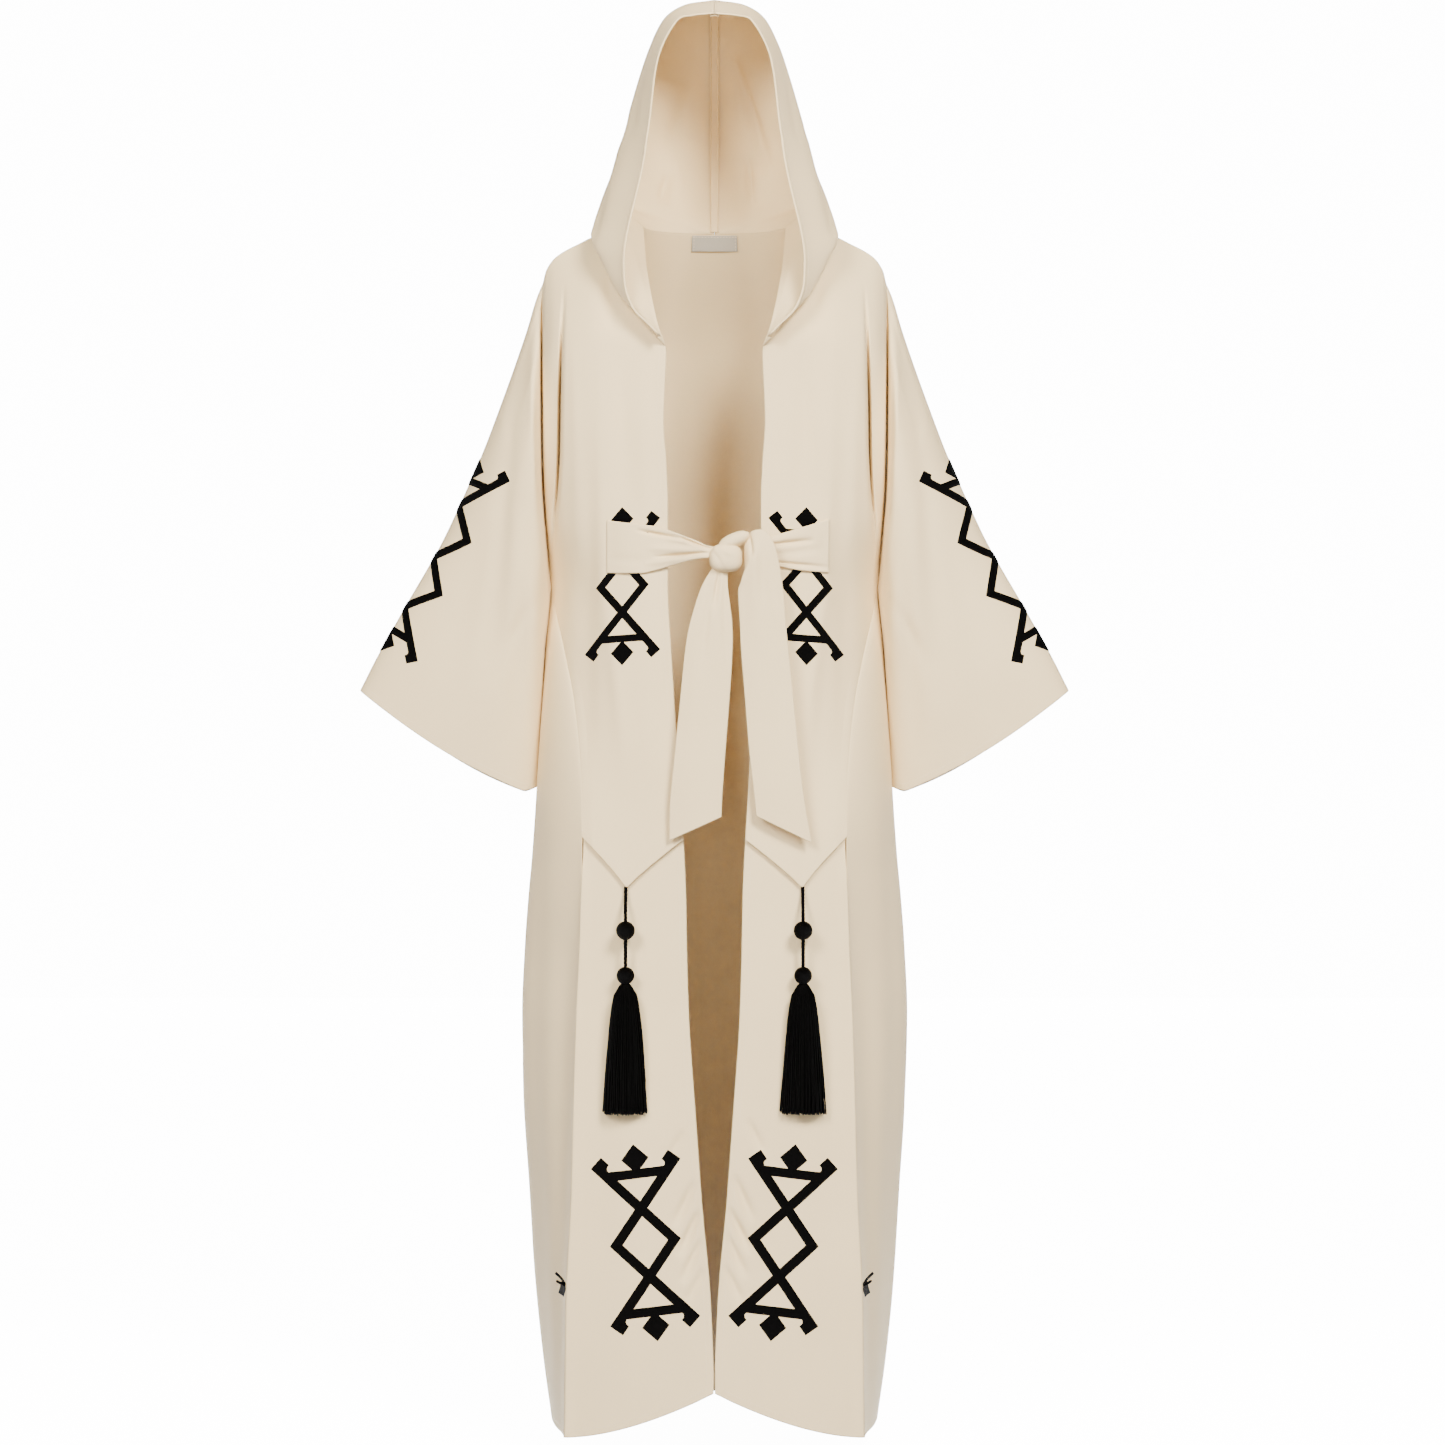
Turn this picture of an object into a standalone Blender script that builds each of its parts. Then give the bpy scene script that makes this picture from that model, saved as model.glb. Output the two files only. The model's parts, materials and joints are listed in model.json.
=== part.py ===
"""A hooded, open-fronted kaftan of cream crepe, worn and filled out, with no wearer.

The origin is at the middle of the neck seam's height, between the shoulders. The front faces -Y.
The body's cloth is read from one surface, given by short tables of sections, and cut into panels.
"""

import math

import bmesh
import bpy
import numpy as np

# Driving dimensions, in metres
CLOTH = 0.0020
SEAM_GAP = 0.0003
UNDERARM = -0.430
SIDE_HEM = -1.424
HEM_RISE = 0.053
HEM_CURVE = 1.6
OVERLAY_TOP_OF_POINT = -0.660
OVERLAY_FRONT_END = -0.7285
OVERLAY_SIDE_END = -0.725
OVERLAY_TIP = -0.785
TIP_PLACE = 0.56
POINT_CURVE = 0.95
UNDERLAP = 0.0034
SHOULDER_ROUND = 0.146
NECK_HALF_WIDTH = 0.085
NECK_BACK = 0.065
CROWN = 3.0
CUFF_SAG = 0.011
UNDERARM_CREASE = 0.006
CREASE_STARTS = 0.985
SLEEVE_FULLNESS = 0.45
SLEEVE_SETTLED = 0.30
TAPE_HALF_WIDTH = 0.0045
TAPE_THICKNESS = 0.0008
TAPE_CLEARANCE = 0.0007
LABEL_HALF_WIDTH = 0.0275
LABEL_TOP = -0.004
LABEL_BOTTOM = -0.022
LABEL_THICKNESS = 0.0006
LABEL_CLEARANCE = 0.0012
CORD_DIAMETER = 0.0046

# Where rows and columns of the body's grids lie
UPPER_ROWS = (0.0, 0.035, 0.09, 0.16, 0.235, 0.31, 0.36, 0.46, 0.58, 0.70, 0.82, 0.92, 1.0)
NECK_ROWS = 7
FRONT_COLUMNS = (0.0, 0.16, 0.34, 0.56, 0.72, 0.80, 0.838, 0.90, 1.0)
NECK_COLUMNS = (0.75, 0.50, 0.25, 0.0)
SIDE_ROWS = (-0.43, -0.48, -0.54, -0.60, -0.66)
POINT_STEPS = (0.5, 1.0)
LOWER_ROWS = (-0.79, -0.855, -0.92, -0.99, -1.06, -1.13, -1.20, -1.27, -1.34)
GORE_COLUMNS = (0.0, 0.10, 0.22, 0.36, 0.50, 0.64, 0.78, 0.90, 1.0)
SLEEVE_LOOPS = (0.0, 0.04, 0.10, 0.18, 0.28, 0.38, 0.48, 0.58, 0.68, 0.78, 0.88, 1.0)


def table(names, *rows):
    """A dictionary of columns, by name, from rows of numbers."""
    return dict(zip(names.split(), np.array(rows).T))


# Half widths of the body at each height: the front opening, the fold beside it and the side
WIDTHS = table(
    "z opening fold side",
    (0.000, 0.0850, 0.2065, 0.2065),
    (-0.030, 0.0825, 0.2065, 0.2065),
    (-0.056, 0.0800, 0.2065, 0.2065),
    (-0.083, 0.0757, 0.2065, 0.2065),
    (-0.108, 0.0706, 0.2063, 0.2063),
    (-0.133, 0.0646, 0.2062, 0.2062),
    (-0.156, 0.0575, 0.2060, 0.2060),
    (-0.192, 0.0588, 0.2058, 0.2058),
    (-0.239, 0.0606, 0.2056, 0.2056),
    (-0.286, 0.0576, 0.2050, 0.2050),
    (-0.333, 0.0557, 0.2025, 0.2025),
    (-0.430, 0.0557, 0.1950, 0.1985),
    (-0.508, 0.0517, 0.1780, 0.2030),
    (-0.567, 0.0480, 0.1660, 0.2070),
    (-0.626, 0.0435, 0.1590, 0.2110),
    (-0.685, 0.0400, 0.1556, 0.2145),
    (-0.754, 0.0360, 0.1556, 0.2195),
    (-0.801, 0.0341, 0.1571, 0.2240),
    (-0.860, 0.0331, 0.1590, 0.2285),
    (-0.940, 0.0305, 0.1625, 0.2320),
    (-1.032, 0.0242, 0.1652, 0.2295),
    (-1.148, 0.0155, 0.1680, 0.2205),
    (-1.264, 0.0045, 0.1736, 0.2120),
    (-1.356, 0.0008, 0.1748, 0.2030),
    (-1.424, 0.0006, 0.1754, 0.1945),
)

# How far forward and back the body reaches at each height, and how deep the fold below the side is
DEPTHS = table(
    "z front front_fold back_fold back pleat",
    (0.000, 0.112, 0.062, 0.062, 0.100, 2.0),
    (-0.150, 0.112, 0.066, 0.066, 0.112, 2.0),
    (-0.250, 0.113, 0.066, 0.064, 0.118, 2.0),
    (-0.350, 0.113, 0.052, 0.052, 0.114, 2.0),
    (-0.430, 0.114, 0.020, 0.020, 0.110, 2.0),
    (-0.500, 0.116, 0.050, 0.050, 0.112, 2.0),
    (-0.600, 0.119, 0.085, 0.088, 0.118, 2.0),
    (-0.725, 0.124, 0.112, 0.112, 0.128, 2.3),
    (-0.900, 0.134, 0.122, 0.130, 0.145, 3.0),
    (-1.150, 0.152, 0.138, 0.148, 0.168, 3.0),
    (-1.424, 0.172, 0.152, 0.165, 0.190, 3.0),
)

SHOULDER = table(
    "x z",
    (0.0850, 0.000),
    (0.1200, -0.003),
    (0.1480, -0.011),
    (0.1600, -0.017),
    (0.1900, -0.034),
    (0.2020, -0.050),
    (0.2065, -0.067),
)

# Folds of the upper fronts: across and down the panel, and half their width there, then their depth
FRONT_FOLDS = table(
    "place top bottom half_width depth",
    (0.838, -0.080, -0.370, 0.030, 0.014),
    (0.300, -0.150, -0.360, 0.090, 0.003),
    (0.560, -0.120, -0.640, 0.080, -0.003),
)

OVERARM = table(
    "z x",
    (-0.067, 0.2065),
    (-0.084, 0.2136),
    (-0.122, 0.2250),
    (-0.158, 0.2370),
    (-0.194, 0.2496),
    (-0.230, 0.2628),
    (-0.266, 0.2766),
    (-0.302, 0.2922),
    (-0.338, 0.3084),
    (-0.374, 0.3255),
    (-0.410, 0.3455),
    (-0.446, 0.3666),
    (-0.482, 0.3870),
    (-0.518, 0.4068),
    (-0.554, 0.4248),
)

UNDERARM_LINE = table(
    "z x",
    (-0.430, 0.1995),
    (-0.500, 0.2070),
    (-0.560, 0.2110),
    (-0.620, 0.2155),
    (-0.6725, 0.2225),
)

# Half the sleeve's depth along it, from armhole to cuff
SLEEVE_DEPTH = table(
    "along half",
    (0.00, 0.066),
    (0.10, 0.082),
    (0.30, 0.078),
    (0.60, 0.060),
    (1.00, 0.042),
)

# The hood's rows, from the top of its face edge down to the front of the neck. Each runs from
# the free edge, round the outermost point and the nape point, to the centre or the neck seam.
HOOD = table(
    "edge_x edge_y edge_z out_x out_y out_z nape_x nape_y nape_z",
    (0.0000, -0.0750, 0.2464, 0.0000, -0.022, 0.2705, 0.0000, 0.006, 0.2722),
    (0.0270, -0.0760, 0.2435, 0.0360, -0.015, 0.2655, 0.0300, 0.028, 0.2655),
    (0.0443, -0.0780, 0.2374, 0.0600, -0.012, 0.2500, 0.0520, 0.042, 0.2480),
    (0.0620, -0.0830, 0.2070, 0.0775, -0.012, 0.2170, 0.0700, 0.055, 0.2155),
    (0.0705, -0.0880, 0.1750, 0.0895, -0.014, 0.1820, 0.0800, 0.066, 0.1760),
    (0.0765, -0.0970, 0.1200, 0.1075, -0.018, 0.1180, 0.0940, 0.070, 0.1180),
    (0.0800, -0.1020, 0.0950, 0.1165, -0.020, 0.0900, 0.0980, 0.062, 0.0750),
    (0.0830, -0.1060, 0.0710, 0.1250, -0.022, 0.0630, 0.0980, 0.052, 0.0400),
    (0.0880, -0.1100, 0.0450, 0.1330, -0.026, 0.0400, 0.1000, 0.045, 0.0300),
    (0.0938, -0.1150, 0.0196, 0.1395, -0.030, 0.0180, 0.1020, 0.036, 0.0260),
    (0.0990, -0.1190, -0.0020, 0.1440, -0.036, 0.0020, 0.1060, 0.022, 0.0240),
    (0.1034, -0.1230, -0.0240, 0.1470, -0.045, -0.0110, 0.1130, -0.008, 0.0180),
    (0.1060, -0.1260, -0.0430, 0.1450, -0.056, -0.0220, 0.1150, -0.028, 0.0040),
    (0.1062, -0.1290, -0.0620, 0.1370, -0.070, -0.0360, 0.1130, -0.048, -0.0160),
    (0.1042, -0.1320, -0.0877, 0.1250, -0.088, -0.0600, 0.1060, -0.074, -0.0460),
    (0.0944, -0.1350, -0.1114, 0.1110, -0.104, -0.0850, 0.0940, -0.096, -0.0800),
    (0.0775, -0.1360, -0.1285, 0.0880, -0.118, -0.1130, 0.0780, -0.113, -0.1170),
    (0.0615, -0.1345, -0.1446, 0.0640, -0.124, -0.1480, 0.0600, -0.118, -0.1520),
)

# The hood's centre seam, one place for each of the first rows
HOOD_CENTRE = table(
    "y z",
    (0.030, 0.2700),
    (0.055, 0.2620),
    (0.085, 0.2430),
    (0.108, 0.2120),
    (0.124, 0.1680),
    (0.124, 0.1050),
    (0.100, 0.0500),
)
HOOD_COLUMNS = (0.0, 0.10, 0.22, 0.34, 0.46, 0.57, 0.68, 0.79, 0.90, 1.0)

# The belt's halves, from the seam that holds each to the knot: top and bottom edges, and the lift
LEFT_BAND = table(
    "x top bottom lift",
    (-0.1270, -0.3575, -0.4165, 0.0000),
    (-0.1080, -0.3605, -0.4171, 0.0010),
    (-0.0873, -0.3644, -0.4171, 0.0015),
    (-0.0700, -0.3690, -0.4140, 0.0020),
    (-0.0545, -0.3738, -0.4095, 0.0030),
    (-0.0400, -0.3785, -0.4060, 0.0070),
    (-0.0250, -0.3830, -0.4020, 0.0120),
    (-0.0101, -0.3870, -0.3990, 0.0165),
)
RIGHT_BAND = table(
    "x top bottom lift",
    (0.1352, -0.3551, -0.4160, 0.0000),
    (0.1180, -0.3605, -0.4150, 0.0010),
    (0.1001, -0.3660, -0.4136, 0.0015),
    (0.0830, -0.3710, -0.4105, 0.0020),
    (0.0662, -0.3761, -0.4066, 0.0030),
    (0.0530, -0.3805, -0.4030, 0.0050),
    (0.0350, -0.3860, -0.3980, 0.0085),
)
BAND_ROWS = (0.0, 0.17, 0.33, 0.5, 0.67, 0.83, 1.0)
BAND_CLEARANCE = 0.0011
BAND_PLEAT = 0.0020
BAND_PLEATS = 2
BAND_GATHER_LIFT = 0.012
KNOT_CENTRE = (0.0129, -0.1310, -0.3937)
KNOT_HALF = (0.0222, 0.0160, 0.0234)
KNOT_BOXINESS = 2.6
KNOT_GROOVE = 0.06
KNOT_WRAPS = 5.0
KNOT_SLANT = 0.7
TAIL_COLUMNS = (0.0, 0.25, 0.5, 0.75, 1.0)
TAIL_BOW = 0.003

# The belt's ends, as rows from the knot down: each row's two edges and how far forward it lies
LEFT_TAIL = table(
    "left_x left_z right_x right_z forward",
    (-0.0050, -0.4158, 0.0205, -0.4178, 0.1310),
    (-0.0193, -0.4387, 0.0165, -0.4387, 0.1330),
    (-0.0290, -0.4750, 0.0200, -0.4750, 0.1345),
    (-0.0333, -0.5088, 0.0205, -0.5088, 0.1345),
    (-0.0392, -0.5673, 0.0169, -0.5673, 0.1350),
    (-0.0450, -0.6257, 0.0123, -0.6257, 0.1350),
    (-0.0508, -0.6842, 0.0088, -0.6750, 0.1355),
    (-0.0520, -0.7297, 0.0076, -0.7029, 0.1360),
)
RIGHT_TAIL = table(
    "left_x left_z right_x right_z forward",
    (0.0351, -0.4040, 0.0351, -0.3800, 0.1310),
    (0.0356, -0.4130, 0.0450, -0.3698, 0.1390),
    (0.0333, -0.4212, 0.0590, -0.3709, 0.1435),
    (0.0310, -0.4305, 0.0707, -0.3896, 0.1435),
    (0.0286, -0.4411, 0.0789, -0.4329, 0.1410),
    (0.0305, -0.4750, 0.0825, -0.4750, 0.1395),
    (0.0321, -0.5088, 0.0859, -0.5088, 0.1385),
    (0.0368, -0.5673, 0.0918, -0.5673, 0.1380),
    (0.0415, -0.6257, 0.0976, -0.6257, 0.1380),
    (0.0465, -0.6700, 0.1040, -0.6800, 0.1385),
    (0.0497, -0.7017, 0.1128, -0.7321, 0.1390),
)

# What hangs from each point: heights and radii
TASSEL_X = 0.1035
BEADS = table("z radius", (-0.8354, 0.0109), (-0.8879, 0.0103))
BEAD_SIDES = 12
BEAD_STEPS = 8
BORE_CLEARANCE = 0.0006
HANG_GAP = 0.0012
CORD_GAP = 0.0004
CORD_POINTS = 12
CORD_STRAIGHT_BELOW = -0.8225
HEAD_TOP = -0.8990
HEAD_BOTTOM = -0.9150
HEAD_SIDES = 16
HEAD_PROFILE = table(
    "radius z",
    (0.0000, HEAD_TOP),
    (0.0060, -0.9000),
    (0.0105, -0.9030),
    (0.0130, -0.9075),
    (0.0132, -0.9125),
    (0.0122, HEAD_BOTTOM),
    (0.0000, HEAD_BOTTOM),
)
STRAND_RINGS = table(
    "count root wide deep",
    (18, 0.0105, 0.0268, 0.0185),
    (12, 0.0070, 0.0175, 0.0120),
    (6, 0.0032, 0.0080, 0.0055),
)
STRAND_STEPS = (0.0, 0.12, 0.45, 1.0)
STRAND_FLARE = 0.65
STRAND_UNEVEN = 0.0012
STRAND_ROOT = -0.9100
STRAND_END = -1.0516
STRAND_HALF_TOP = 0.0011
STRAND_HALF_END = 0.0018
STRAND_CLEARANCE = 0.0035

SIDES = ((-1, "left"), (1, "right"))


def clear_scene():
    for item in list(bpy.data.objects):
        bpy.data.objects.remove(item, do_unlink=True)


def material(name, colour, roughness):
    made = bpy.data.materials.new(name)
    made.use_nodes = True
    shader = made.node_tree.nodes["Principled BSDF"]
    shader.inputs["Base Color"].default_value = (*colour, 1.0)
    shader.inputs["Roughness"].default_value = roughness
    shader.inputs["Metallic"].default_value = 0.0
    return made


def smooth(at, places, values):
    """A curve with no overshoot through values at rising or falling places, read at each `at`."""
    order = np.argsort(places)
    places, values = np.asarray(places)[order], np.asarray(values)[order]
    at = np.clip(at, places[0], places[-1])
    steps = np.diff(places)
    rises = np.diff(values) / steps
    slopes = np.concatenate([rises[:1], np.zeros(len(rises) - 1), rises[-1:]])
    same = rises[:-1] * rises[1:] > 0
    before, after = rises[:-1][same], rises[1:][same]
    slopes[1:-1][same] = 2 * before * after / (before + after)
    left = np.clip(np.searchsorted(places, at) - 1, 0, len(steps) - 1)
    step = steps[left]
    part = (at - places[left]) / step
    start = values[left] * (1 + 2 * part) * (1 - part) ** 2
    end = values[left + 1] * part**2 * (3 - 2 * part)
    bends = slopes[left] * part * (1 - part) ** 2 - slopes[left + 1] * part**2 * (1 - part)
    return start + end + step * bends


def body_width(name, z):
    return smooth(z, WIDTHS["z"], WIDTHS[name])


def body_depth(name, z):
    return smooth(z, DEPTHS["z"], DEPTHS[name])


def shoulder_rounding(top, z):
    return np.sin(math.pi / 2 * np.clip((top - z) / SHOULDER_ROUND, 0, 1))


def front_folds(place, z):
    """How far the upper front's folds sink in at each place."""
    depth = 0.0
    for fold_place, top, bottom, half_width, most in zip(*FRONT_FOLDS.values()):
        across = np.exp(-(((place - fold_place) / half_width) ** 2))
        along = np.clip((top - z) / (top - bottom), 0, 1)
        depth = depth + most * across * np.sin(math.pi * along) ** 0.7
    return depth


def front_surface(place, z, top=0.0):
    """The front's points: place runs from the opening, 0, to the fold or the armhole, 1."""
    opening, fold = body_width("opening", z), body_width("fold", z)
    edge, side = body_depth("front", z), body_depth("front_fold", z)
    reach = side + (edge - side) * (1 - place**CROWN)
    y = -reach * shoulder_rounding(top, z) + front_folds(place, z)
    return np.stack([opening + (fold - opening) * place, y, z], axis=-1)


def gore_surface(place, z):
    """The side's points: place runs from the front fold, 0, to the back fold, 1."""
    fold, side = body_width("fold", z), body_width("side", z)
    turn = math.pi * place
    x = fold + (side - fold) * np.sin(turn) ** body_depth("pleat", z)
    reach = np.where(place < 0.5, body_depth("front_fold", z), body_depth("back_fold", z))
    return np.stack([x, -reach * np.cos(turn), z], axis=-1)


def back_surface(place, z, top, top_y):
    """The back's points: place runs from the centre, 0, to the back fold or the armhole, 1."""
    centre, side = body_depth("back", z), body_depth("back_fold", z)
    reach = side + (centre - side) * (1 - place**CROWN)
    y = top_y + (reach - top_y) * shoulder_rounding(top, z)
    return np.stack([body_width("fold", z) * place, y, z], axis=-1)


def shoulder_seam(columns):
    """Places along the shoulder seam, as x and z, for the front's columns."""
    columns = np.array(columns)
    z = np.zeros(len(columns))
    for _ in range(8):
        x = body_width("opening", z) + (body_width("fold", z) - body_width("opening", z)) * columns
        z = smooth(x, SHOULDER["x"], SHOULDER["z"])
    return x, z


def normals(points, round_columns=False):
    """Unit normals of a grid of points. Its rows run down and its columns run outwards."""
    if round_columns:
        across = np.roll(points, -1, axis=1) - np.roll(points, 1, axis=1)
    else:
        across = np.gradient(points, axis=1)
    found = np.cross(np.gradient(points, axis=0), across)
    return found / np.linalg.norm(found, axis=-1, keepdims=True)


def share_normals(first, second):
    """The same end normals for two panels that meet smoothly or at a ridge."""
    mean = first + second
    mean /= np.linalg.norm(mean, axis=-1, keepdims=True)
    first[:] = mean
    second[:] = mean


def draw_in(points, rows=(), columns=(), gap=SEAM_GAP / 2):
    """Moves the named edge rows and columns of a grid towards its middle, by half a seam's gap."""
    old = points.copy()
    count = {0: 1, -1: -2}
    for row in rows:
        step = old[count[row]] - old[row]
        points[row] += gap * step / np.linalg.norm(step, axis=-1, keepdims=True)
    for column in columns:
        step = old[:, count[column]] - old[:, column]
        points[:, column] += gap * step / np.linalg.norm(step, axis=-1, keepdims=True)


def mirrored(points, side):
    return points * np.array([side, 1, 1])


def cloth_mesh(name, outer, inner, side=1, round_columns=False):
    """A closed wall between two grids of points."""
    rows, columns = outer.shape[:2]
    mesh = bpy.data.meshes.new(name)
    work = bmesh.new()
    faces = [
        [[work.verts.new(point) for point in row] for row in mirrored(grid, side)]
        for grid in (outer, inner)
    ]
    wrap = columns if round_columns else columns - 1
    for grid, turned in zip(faces, (False, True)):
        for row in range(rows - 1):
            for column in range(wrap):
                after = (column + 1) % columns
                upper, lower = grid[row], grid[row + 1]
                corners = [upper[column], lower[column], lower[after], upper[after]]
                work.faces.new(corners[::-1] if turned else corners)
    rim = [(0, c, 0, (c + 1) % columns) for c in range(wrap)]
    rim += [(rows - 1, (c + 1) % columns, rows - 1, c) for c in range(wrap)]
    if not round_columns:
        rim += [(r + 1, 0, r, 0) for r in range(rows - 1)]
        rim += [(r, columns - 1, r + 1, columns - 1) for r in range(rows - 1)]
    outside, inside = faces
    for row, column, next_row, next_column in rim:
        near = (inside[row][column], outside[row][column])
        far = (outside[next_row][next_column], inside[next_row][next_column])
        work.faces.new((*near, *far))
    bmesh.ops.recalc_face_normals(work, faces=work.faces)
    work.to_mesh(mesh)
    work.free()
    return mesh


def add_object(name, mesh, finish):
    mesh.materials.append(finish)
    mesh.shade_smooth()
    made = bpy.data.objects.new(name, mesh)
    bpy.context.scene.collection.objects.link(made)
    return made


def wall(name, points, directions, finish, side=1, thickness=CLOTH, round_columns=False):
    """A piece of cloth: its outer face holds the points, and its wall lies inside them."""
    inner = points - thickness * directions
    return add_object(name, cloth_mesh(name, points, inner, side, round_columns), finish)


def overlay_bottom(place):
    """The pointed hem's height across the panel."""
    before = place < TIP_PLACE
    away = np.abs(place - TIP_PLACE) / np.where(before, TIP_PLACE, 1 - TIP_PLACE)
    end = np.where(before, OVERLAY_FRONT_END, OVERLAY_SIDE_END)
    return OVERLAY_TIP + (end - OVERLAY_TIP) * away**POINT_CURVE


def overlay_grid(columns=FRONT_COLUMNS):
    place = np.array(columns)
    top = shoulder_seam(columns)[1]
    rows = [front_surface(place, top + (UNDERARM - top) * part, top) for part in UPPER_ROWS]
    rows += [front_surface(place, np.full_like(place, z)) for z in SIDE_ROWS[1:]]
    bottom = overlay_bottom(place)
    for step in POINT_STEPS:
        rows.append(front_surface(place, OVERLAY_TOP_OF_POINT + (bottom - OVERLAY_TOP_OF_POINT) * step))
    return np.array(rows)


def low_heights():
    middle = OVERLAY_TOP_OF_POINT + (OVERLAY_SIDE_END - OVERLAY_TOP_OF_POINT) * np.array(POINT_STEPS)
    return (OVERLAY_TOP_OF_POINT, *middle, *LOWER_ROWS)


def front_grid(columns=FRONT_COLUMNS):
    place = np.array(columns)
    rows = [front_surface(place, np.full_like(place, z)) for z in low_heights()]
    hem = SIDE_HEM + HEM_RISE * (1 - place) ** HEM_CURVE
    rows.append(front_surface(place, hem))
    return np.array(rows)


def gore_grid(columns=GORE_COLUMNS):
    place = np.array(columns)
    heights = (*SIDE_ROWS[:-1], *low_heights(), SIDE_HEM)
    return np.array([gore_surface(place, np.full_like(place, z)) for z in heights])


def back_grid(columns=FRONT_COLUMNS):
    """Half the back, from the armhole in to the centre."""
    seam_x, seam_z = shoulder_seam(columns)
    neck = NECK_HALF_WIDTH * np.array(NECK_COLUMNS)
    top_x = np.concatenate([seam_x[::-1], neck])
    top_z = np.concatenate([seam_z[::-1], np.zeros(len(neck))])
    top_y = NECK_BACK * np.sqrt(np.clip(1 - (top_x / NECK_HALF_WIDTH) ** 2, 0, 1))
    place = top_x / body_width("fold", top_z)
    rows = [
        back_surface(place, top_z + (UNDERARM - top_z) * part, top_z, top_y) for part in UPPER_ROWS
    ]
    heights = (*SIDE_ROWS[1:-1], *low_heights(), SIDE_HEM)
    rows += [back_surface(place, np.full_like(place, z), 0.0, top_y) for z in heights]
    return np.array(rows)


def curve_through(points, at):
    """Points of a smooth curve through a list of points, at shares of its length from 0 to 1."""
    gaps = np.linalg.norm(np.diff(points, axis=0), axis=1)
    along = np.concatenate([[0.0], np.cumsum(gaps)])
    tangents = np.gradient(points, along, axis=0)
    at = np.asarray(at) * along[-1]
    left = np.clip(np.searchsorted(along, at) - 1, 0, len(gaps) - 1)
    step = gaps[left][:, None]
    part = ((at - along[left]) / gaps[left])[:, None]
    start = points[left] * (1 + 2 * part) * (1 - part) ** 2
    end = points[left + 1] * part**2 * (3 - 2 * part)
    bends = tangents[left] * part * (1 - part) ** 2 - tangents[left + 1] * part**2 * (1 - part)
    return start + end + step * bends


def hood_grid(neck_points, columns=HOOD_COLUMNS):
    """Half the hood, one row for each row of its table, ending on the centre seam and the neck seam."""
    rows = []
    centre_rows = len(HOOD_CENTRE["y"])
    for row in range(len(HOOD["edge_x"])):
        edge, out, nape = (
            np.array([HOOD[f"{place}_{axis}"][row] for axis in "xyz"])
            for place in ("edge", "out", "nape")
        )
        if row < centre_rows:
            end = np.array([0.0, HOOD_CENTRE["y"][row], HOOD_CENTRE["z"][row]])
            beyond = nape * np.array([-1, 1, 1])
            if row == 0:
                beyond = np.array([0.0, HOOD_CENTRE["y"][1], HOOD_CENTRE["z"][1]])
            points = np.array([edge, out, nape, end, beyond])
            lengths = np.linalg.norm(np.diff(points, axis=0), axis=1)
            share = lengths[:3].sum() / lengths.sum()
            rows.append(curve_through(points, np.array(columns) * share))
        else:
            points = np.array([edge, out, nape, neck_points[row - centre_rows]])
            rows.append(curve_through(points, columns))
    return np.array(rows)


def centre_line(hood):
    """The hood's centre seam as points: back over the crown, then down to the neck."""
    last = len(HOOD_CENTRE["y"])
    return np.concatenate([hood[0], hood[1 : last + 1, -1]])


def set_centre_normals(hood, directions):
    """Normals in the middle plane along the centre seam, so that the halves meet face to face."""
    tangents = np.gradient(centre_line(hood), axis=0)
    found = np.stack([0 * tangents[:, 0], -tangents[:, 2], tangents[:, 1]], axis=-1)
    found /= np.linalg.norm(found, axis=-1, keepdims=True)
    columns = hood.shape[1]
    directions[0] = found[:columns]
    directions[1 : len(HOOD_CENTRE["y"]) + 1, -1] = found[columns:]
    return found


def beside_centre(hood, directions, middle):
    """Points of the hood half a tape's width from its centre seam, and the normals there."""
    last = len(HOOD_CENTRE["y"])
    line = centre_line(hood)
    beside = np.concatenate([hood[1, :-1], hood[1:2, -2], hood[1 : last + 1, -2]])
    beside_out = np.concatenate([directions[1, :-1], directions[1:2, -2], directions[1 : last + 1, -2]])
    part = (TAPE_HALF_WIDTH / beside[:, 0])[:, None]
    found = middle + (beside_out - middle) * part
    return line + (beside - line) * part, found / np.linalg.norm(found, axis=-1, keepdims=True)


def neck_seam(overlay, back):
    """The neck seam's points and the body's outward and edgeward directions, centre back to front."""
    behind = slice(-1, -2 - len(NECK_COLUMNS), -1)
    points = np.concatenate([back["points"][0, behind], overlay["points"][1:NECK_ROWS, 0]])
    across = np.concatenate([back["normals"][0, behind], overlay["normals"][1:NECK_ROWS, 0]])
    back_out = back["points"][0, behind] - back["points"][1, behind]
    front_out = overlay["points"][1:NECK_ROWS, 0] - overlay["points"][1:NECK_ROWS, 1]
    out = np.concatenate([back_out, front_out])
    return points, across, out / np.linalg.norm(out, axis=-1, keepdims=True)


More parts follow.
